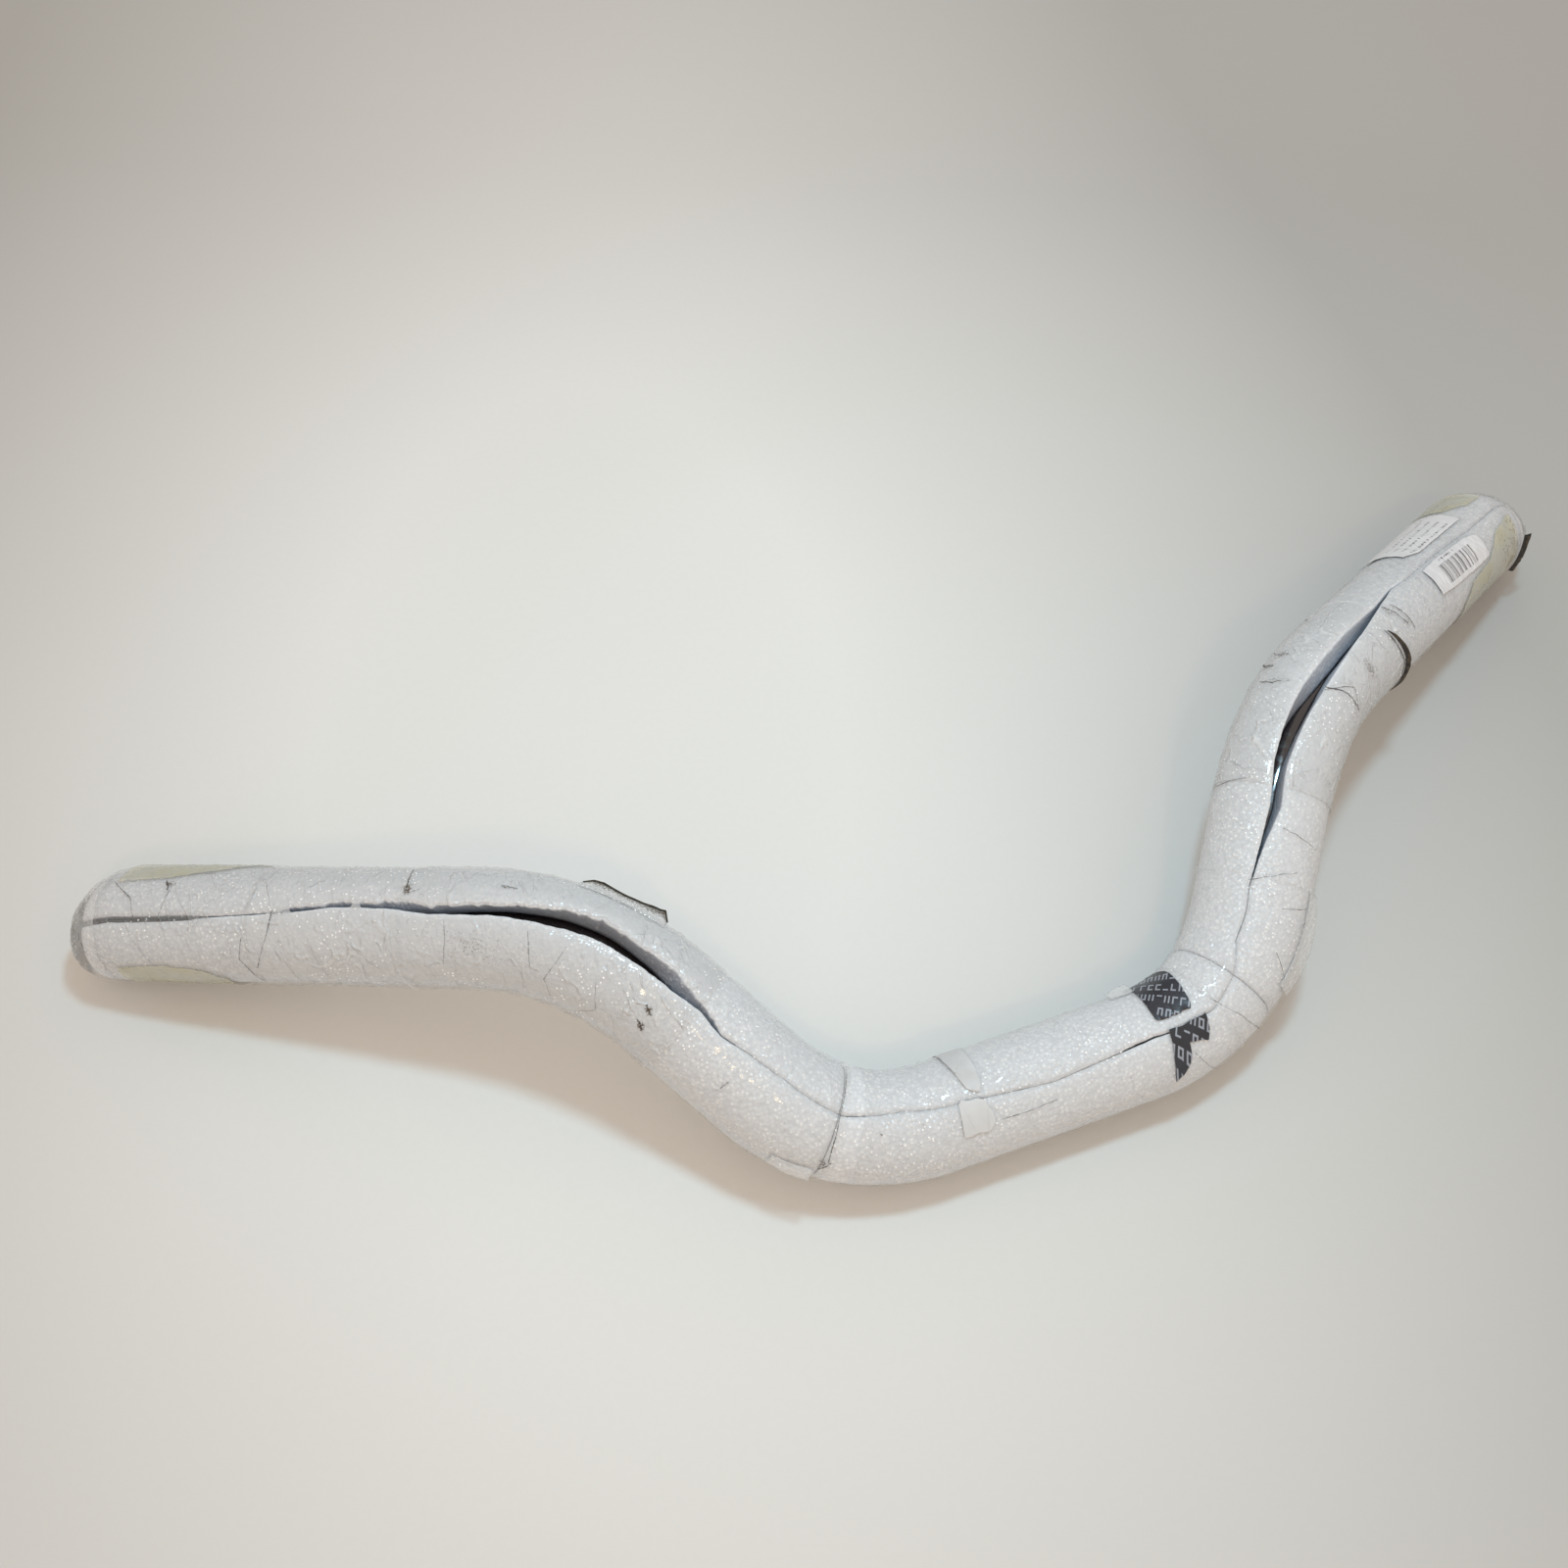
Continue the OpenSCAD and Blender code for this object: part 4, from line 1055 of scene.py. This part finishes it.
class HANDLEBAR_OT_dirt_lines(bpy.types.Operator):
    """Draws the thin lines of dirt that creases and tape edges hold"""
    bl_idname = "handlebar.dirt_lines"
    bl_label = "Dirt lines"

    # Each line is its width in mm, then its points as distance and angle
    LEFT = [
        (0.7, (-407, 40), (-410, 62), (-404, 92)), (0.6, (-500, 32), (-498, 48), (-494, 66)),
        (0.6, (-484, -16), (-470, 4), (-466, 22)), (1.6, (-455, -18), (-451, -6)),
        (0.5, (-450, -6), (-452, 22)), (0.8, (-391, 14), (-394, 40), (-402, 72)),
        (1.0, (-328, -38), (-326, -22), (-325, -6)), (0.8, (-325, -4), (-318, -10)),
        (0.9, (-283, -17), (-276, -16)), (0.4, (-303, 20), (-302, 40), (-305, 62)),
        (0.35, (-266, 22), (-262, 52)), (0.35, (-249, 24), (-254, 60), (-250, 78)),
        (1.3, (-209, 30), (-205, 35)), (1.5, (-208, 46), (-203, 52)), (0.5, (-159, 34), (-161, 50)),
        (0.9, (-109, 72), (-105, 60)), (0.3, (-352, 40), (-338, 70)), (0.3, (-372, 40), (-366, 84)),
        (0.3, (-232, 40), (-226, 66), (-236, 84)), (0.3, (-470, 30), (-455, 84)),
        (0.3, (-495, -20), (-420, -30)),
    ]
    CENTRE = [
        (0.7, (-108, -40), (-108, 14), (-106, 60)), (0.5, (-31, 39), (-14, 40), (-2, 39)),
        (0.5, (-45, -30), (-42, -18)), (0.4, (68, 44), (78, 92)), (0.5, (88, -8), (95, 40), (101, 90)),
        (0.8, (-87.6, 25.6), (-86.6, 26.4)),
    ]
    RIGHT = [
        (0.5, (202, -99), (205, -66), (207, -36)), (0.5, (187, 5), (184, 26), (182, 50)),
        (0.5, (158, -17), (163, 6), (167, 28)), (1.5, (272, -84), (266, -68), (264, -54)),
        (1.0, (255, -62), (253, -44), (254, -26)), (0.8, (276, -70), (271, -56), (270, -42)),
        (1.2, (305, -66), (302, -60)), (1.1, (257, 8), (262, 32), (262, 56)),
        (0.7, (255, 8), (268, 34), (262, 54)), (1.6, (327, 0), (331, 16), (334, 32)),
        (1.1, (333, 4), (337, 22), (338, 42)), (2.4, (313, 20), (316, 44), (321, 68), (319, 92)),
        (0.6, (148, 20), (152, 52)), (0.5, (128, 30), (120, 60)),
        (0.9, (438, -54), (448, -40), (462, -36)), (0.7, (478, 40), (482, 60), (483, 84)),
    ]

    def execute(self, context):
        path, c = current()
        material, n, shader = new_material("Dirt line", Roughness=0.7)
        here = n.here()
        n.put(shader, "Base Color", n.mix(n.noise(here, 300.0), rgba(c.dirt), (0.03, 0.028, 0.03, 1)))
        across = n.unwrapped()[1]
        off_middle = n.math("ABSOLUTE", n.math("SUBTRACT", n.times(across, 2.0), 1.0))
        middle = n.math("SUBTRACT", 1.0, off_middle)
        broken = n.band(n.math("ADD", n.times(middle, 0.42), n.noise(here, 1500.0, 4.0)), 0.66, 0.8)
        n.put(shader, "Alpha", n.times(broken, 0.9))
        for name, lines in (("left", self.LEFT), ("centre", self.CENTRE), ("right", self.RIGHT)):
            pieces = [self.line(path, f"dirt_{name}_{k}", width, points)
                      for k, (width, *points) in enumerate(lines)]
            place(joined_mesh(f"dirt_{name}", pieces), material)
        return {"FINISHED"}

    def line(self, path, name, width, points):
        """A flat strip just over the tape, along points joined by straight stretches"""
        points = np.array(points, float)
        t = np.linspace(0, len(points) - 1, 16 * (len(points) - 1))
        s = np.interp(t, range(len(points)), points[:, 0]) + 0.8 * (noise(t * 3, points[0, 0]) - 0.5)
        a = np.interp(t, range(len(points)), points[:, 1])
        r = path.radius(float(s[0]) * MM) / MM
        ds, da = np.gradient(s), np.gradient(np.radians(a) * r)
        length = np.hypot(ds, da)
        rows, uv = [], []
        for k in range(len(t)):
            half = 1.3 * width * (0.3 + 0.7 * float(noise(t[k] * 4, points[0, 1]))) / 2
            row = []
            for side in (-1, 0, 1):
                shift_s = -da[k] / length[k] * half * side
                shift_a = ds[k] / length[k] * half * side
                turn = a[k] + math.degrees(shift_a / r)
                h = FILM_GAP + 0.4 * MM + crinkle(s[k] * MM, np.array([turn]), r * MM)
                row.append(path.skin((s[k] + shift_s) * MM, np.array([turn]), h + 0.15 * MM)[0])
            rows.append(np.array(row))
            uv.append(np.array([[t[k], 0.0], [t[k], 0.5], [t[k], 1.0]]))
        return grid_mesh(name, rows, uv)


class HANDLEBAR_OT_stage(bpy.types.Operator):
    """Lays a paper sweep, hangs two soft lamps and sets the camera over the bar"""
    bl_idname = "handlebar.stage"
    bl_label = "Stage"

    # The camera as fitted to the sleeve's outline: metres, radians and pixels
    CAMERA_AT = (-0.2112, -0.1916, 0.6891)
    CAMERA_YAW, CAMERA_PITCH, CAMERA_ROLL = 0.3730, 1.0065, -0.0311
    FOCAL_PIXELS, FRAME_PIXELS, SENSOR_MM = 1479.6, 1600, 36.0
    LAMPS_AIM = Vector((0, 0.1, 0.03))
    COOL, WARM, WARM_WHITE = (0.52, 0.82, 1.0), (1.0, 0.72, 0.42), (1.0, 0.88, 0.78)

    def execute(self, context):
        scene, looks = context.scene, context.scene.stage_looks
        yaw, pitch, roll = self.CAMERA_YAW, self.CAMERA_PITCH, self.CAMERA_ROLL
        right = Vector((math.cos(yaw), -math.sin(yaw), 0))
        onward = Vector((math.sin(yaw), math.cos(yaw), 0))
        level = math.cos(pitch)
        ahead = Vector((math.sin(yaw) * level, math.cos(yaw) * level, -math.sin(pitch)))
        up = right.cross(ahead)
        tilted = math.cos(roll) * right - math.sin(roll) * up
        up = math.sin(roll) * right + math.cos(roll) * up
        turned = Matrix((tilted, up, -ahead)).transposed().to_4x4()
        camera = bpy.data.objects.new("camera", bpy.data.cameras.new("camera"))
        camera.data.sensor_width = self.SENSOR_MM
        camera.data.lens = self.SENSOR_MM * self.FOCAL_PIXELS / self.FRAME_PIXELS
        camera.matrix_world = Matrix.Translation(self.CAMERA_AT) @ turned
        scene.collection.objects.link(camera)
        scene.camera = camera
        self.sweep(looks, onward, right)
        self.lamp("lamp_overhead", (0.06, 0.20, 1.05), 0.12, looks.key_power, self.COOL)
        self.lamp("lamp_front", (-0.25, -0.85, 1.30), 0.16, looks.fill_power, self.WARM)
        world = bpy.data.worlds.new("even light")
        world.use_nodes = True
        back = world.node_tree.nodes["Background"]
        back.inputs[0].default_value = rgba(self.WARM_WHITE)
        back.inputs[1].default_value = looks.world
        scene.world = world
        scene.view_settings.view_transform = "Standard"
        return {"FINISHED"}

    def sweep(self, looks, ahead, right):
        """The paper: flat under the bar, then rolling up behind it"""
        near, far, half_width, count = -3.0, 2.4, 3.0, 91
        rows = []
        for d in np.linspace(near, far, count):
            rise = max(0.0, d - 0.75)
            height = 0.9 * rise ** 2 / (rise + 0.35)
            line = []
            for w in np.linspace(-half_width, half_width, count):
                soft = 0.006 * (float(noise(d * 1.3 + 9, w * 2.1 + 30)) - 0.5) * ease(rise / 0.3)
                spot = ahead * d + right * w
                line.append((spot.x, spot.y, height + soft))
            rows.append(np.array(line))
        mesh = grid_mesh("paper_sweep", rows)
        sweep = bpy.data.objects.new("paper_sweep", mesh)
        bpy.context.scene.collection.objects.link(sweep)
        material, n, shader = new_material("Paper sweep", Roughness=0.8)
        here = n.here()
        cloud = n.band(n.noise(here, 2.2, 2.0), 0.3, 0.7)
        fibre = n.noise(here, 260.0, 3.0)
        tone = n.mix(cloud, rgba(looks.floor), rgba(looks.floor, 1.03))
        tone = n.mix(n.times(fibre, 0.12), tone, (0.6, 0.58, 0.55, 1))
        # Painted shade: the paper darkens away from the bar, over an oval, where the lamps' light falls off
        oval = {"Vector": here, "Location": (-0.15, 0.29, 0), "Rotation": (0, 0, -0.25),
                "Scale": (0.573, 1.053, 1)}
        oval = n.add("ShaderNodeMapping", oval, vector_type="TEXTURE").outputs[0]
        away = n.add("ShaderNodeVectorMath", {0: oval}, operation="LENGTH").outputs["Value"]
        falloff_shade = n.add("ShaderNodeMapRange", {0: away, 1: 0.265, 2: 1.0}).outputs[0]
        n.put(shader, "Base Color", n.mix(falloff_shade, tone, rgba(looks.floor, 0.58)))
        bump(n, shader, fibre, strength=0.08, distance=0.0004)
        mesh.materials.append(material)

    def lamp(self, name, spot, size, power, colour):
        light = bpy.data.lights.new(name, "AREA")
        light.shape, light.size, light.energy, light.color = "DISK", size, power, colour
        lamp = bpy.data.objects.new(name, light)
        lamp.location = spot
        lamp.rotation_euler = (self.LAMPS_AIM - lamp.location).to_track_quat("-Z", "Y").to_euler()
        bpy.context.scene.collection.objects.link(lamp)


OPERATORS = (
    HANDLEBAR_OT_stage, HANDLEBAR_OT_tube, HANDLEBAR_OT_foam, HANDLEBAR_OT_clear_tape, HANDLEBAR_OT_ends,
    HANDLEBAR_OT_aged_tape, HANDLEBAR_OT_labels, HANDLEBAR_OT_security_tape, HANDLEBAR_OT_paper_tape,
    HANDLEBAR_OT_loose_tape, HANDLEBAR_OT_dirt_lines,
)


class HANDLEBAR_PT_panel(bpy.types.Panel):
    """Lists the pieces in the sidebar"""
    bl_idname = "HANDLEBAR_PT_panel"
    bl_label = "Wrapped handlebar"
    bl_space_type = "VIEW_3D"
    bl_region_type = "UI"
    bl_category = "Handlebar"

    def draw(self, context):
        for operator in OPERATORS:
            self.layout.operator(operator.bl_idname)


GROUPS = (("bar_sizes", BarSizes), ("wrap_colours", WrapColours), ("stage_looks", StageLooks))


def register():
    for name, group in GROUPS:
        bpy.utils.register_class(group)
        setattr(bpy.types.Scene, name, bpy.props.PointerProperty(type=group))
    for operator in OPERATORS:
        bpy.utils.register_class(operator)
    bpy.utils.register_class(HANDLEBAR_PT_panel)


def unregister():
    bpy.utils.unregister_class(HANDLEBAR_PT_panel)
    for operator in reversed(OPERATORS):
        bpy.utils.unregister_class(operator)
    for name, group in reversed(GROUPS):
        delattr(bpy.types.Scene, name)
        bpy.utils.unregister_class(group)


def main():
    register()
    for operator in OPERATORS:
        group, action = operator.bl_idname.split(".")
        getattr(getattr(bpy.ops, group), action)()


if __name__ == "__main__":
    main()
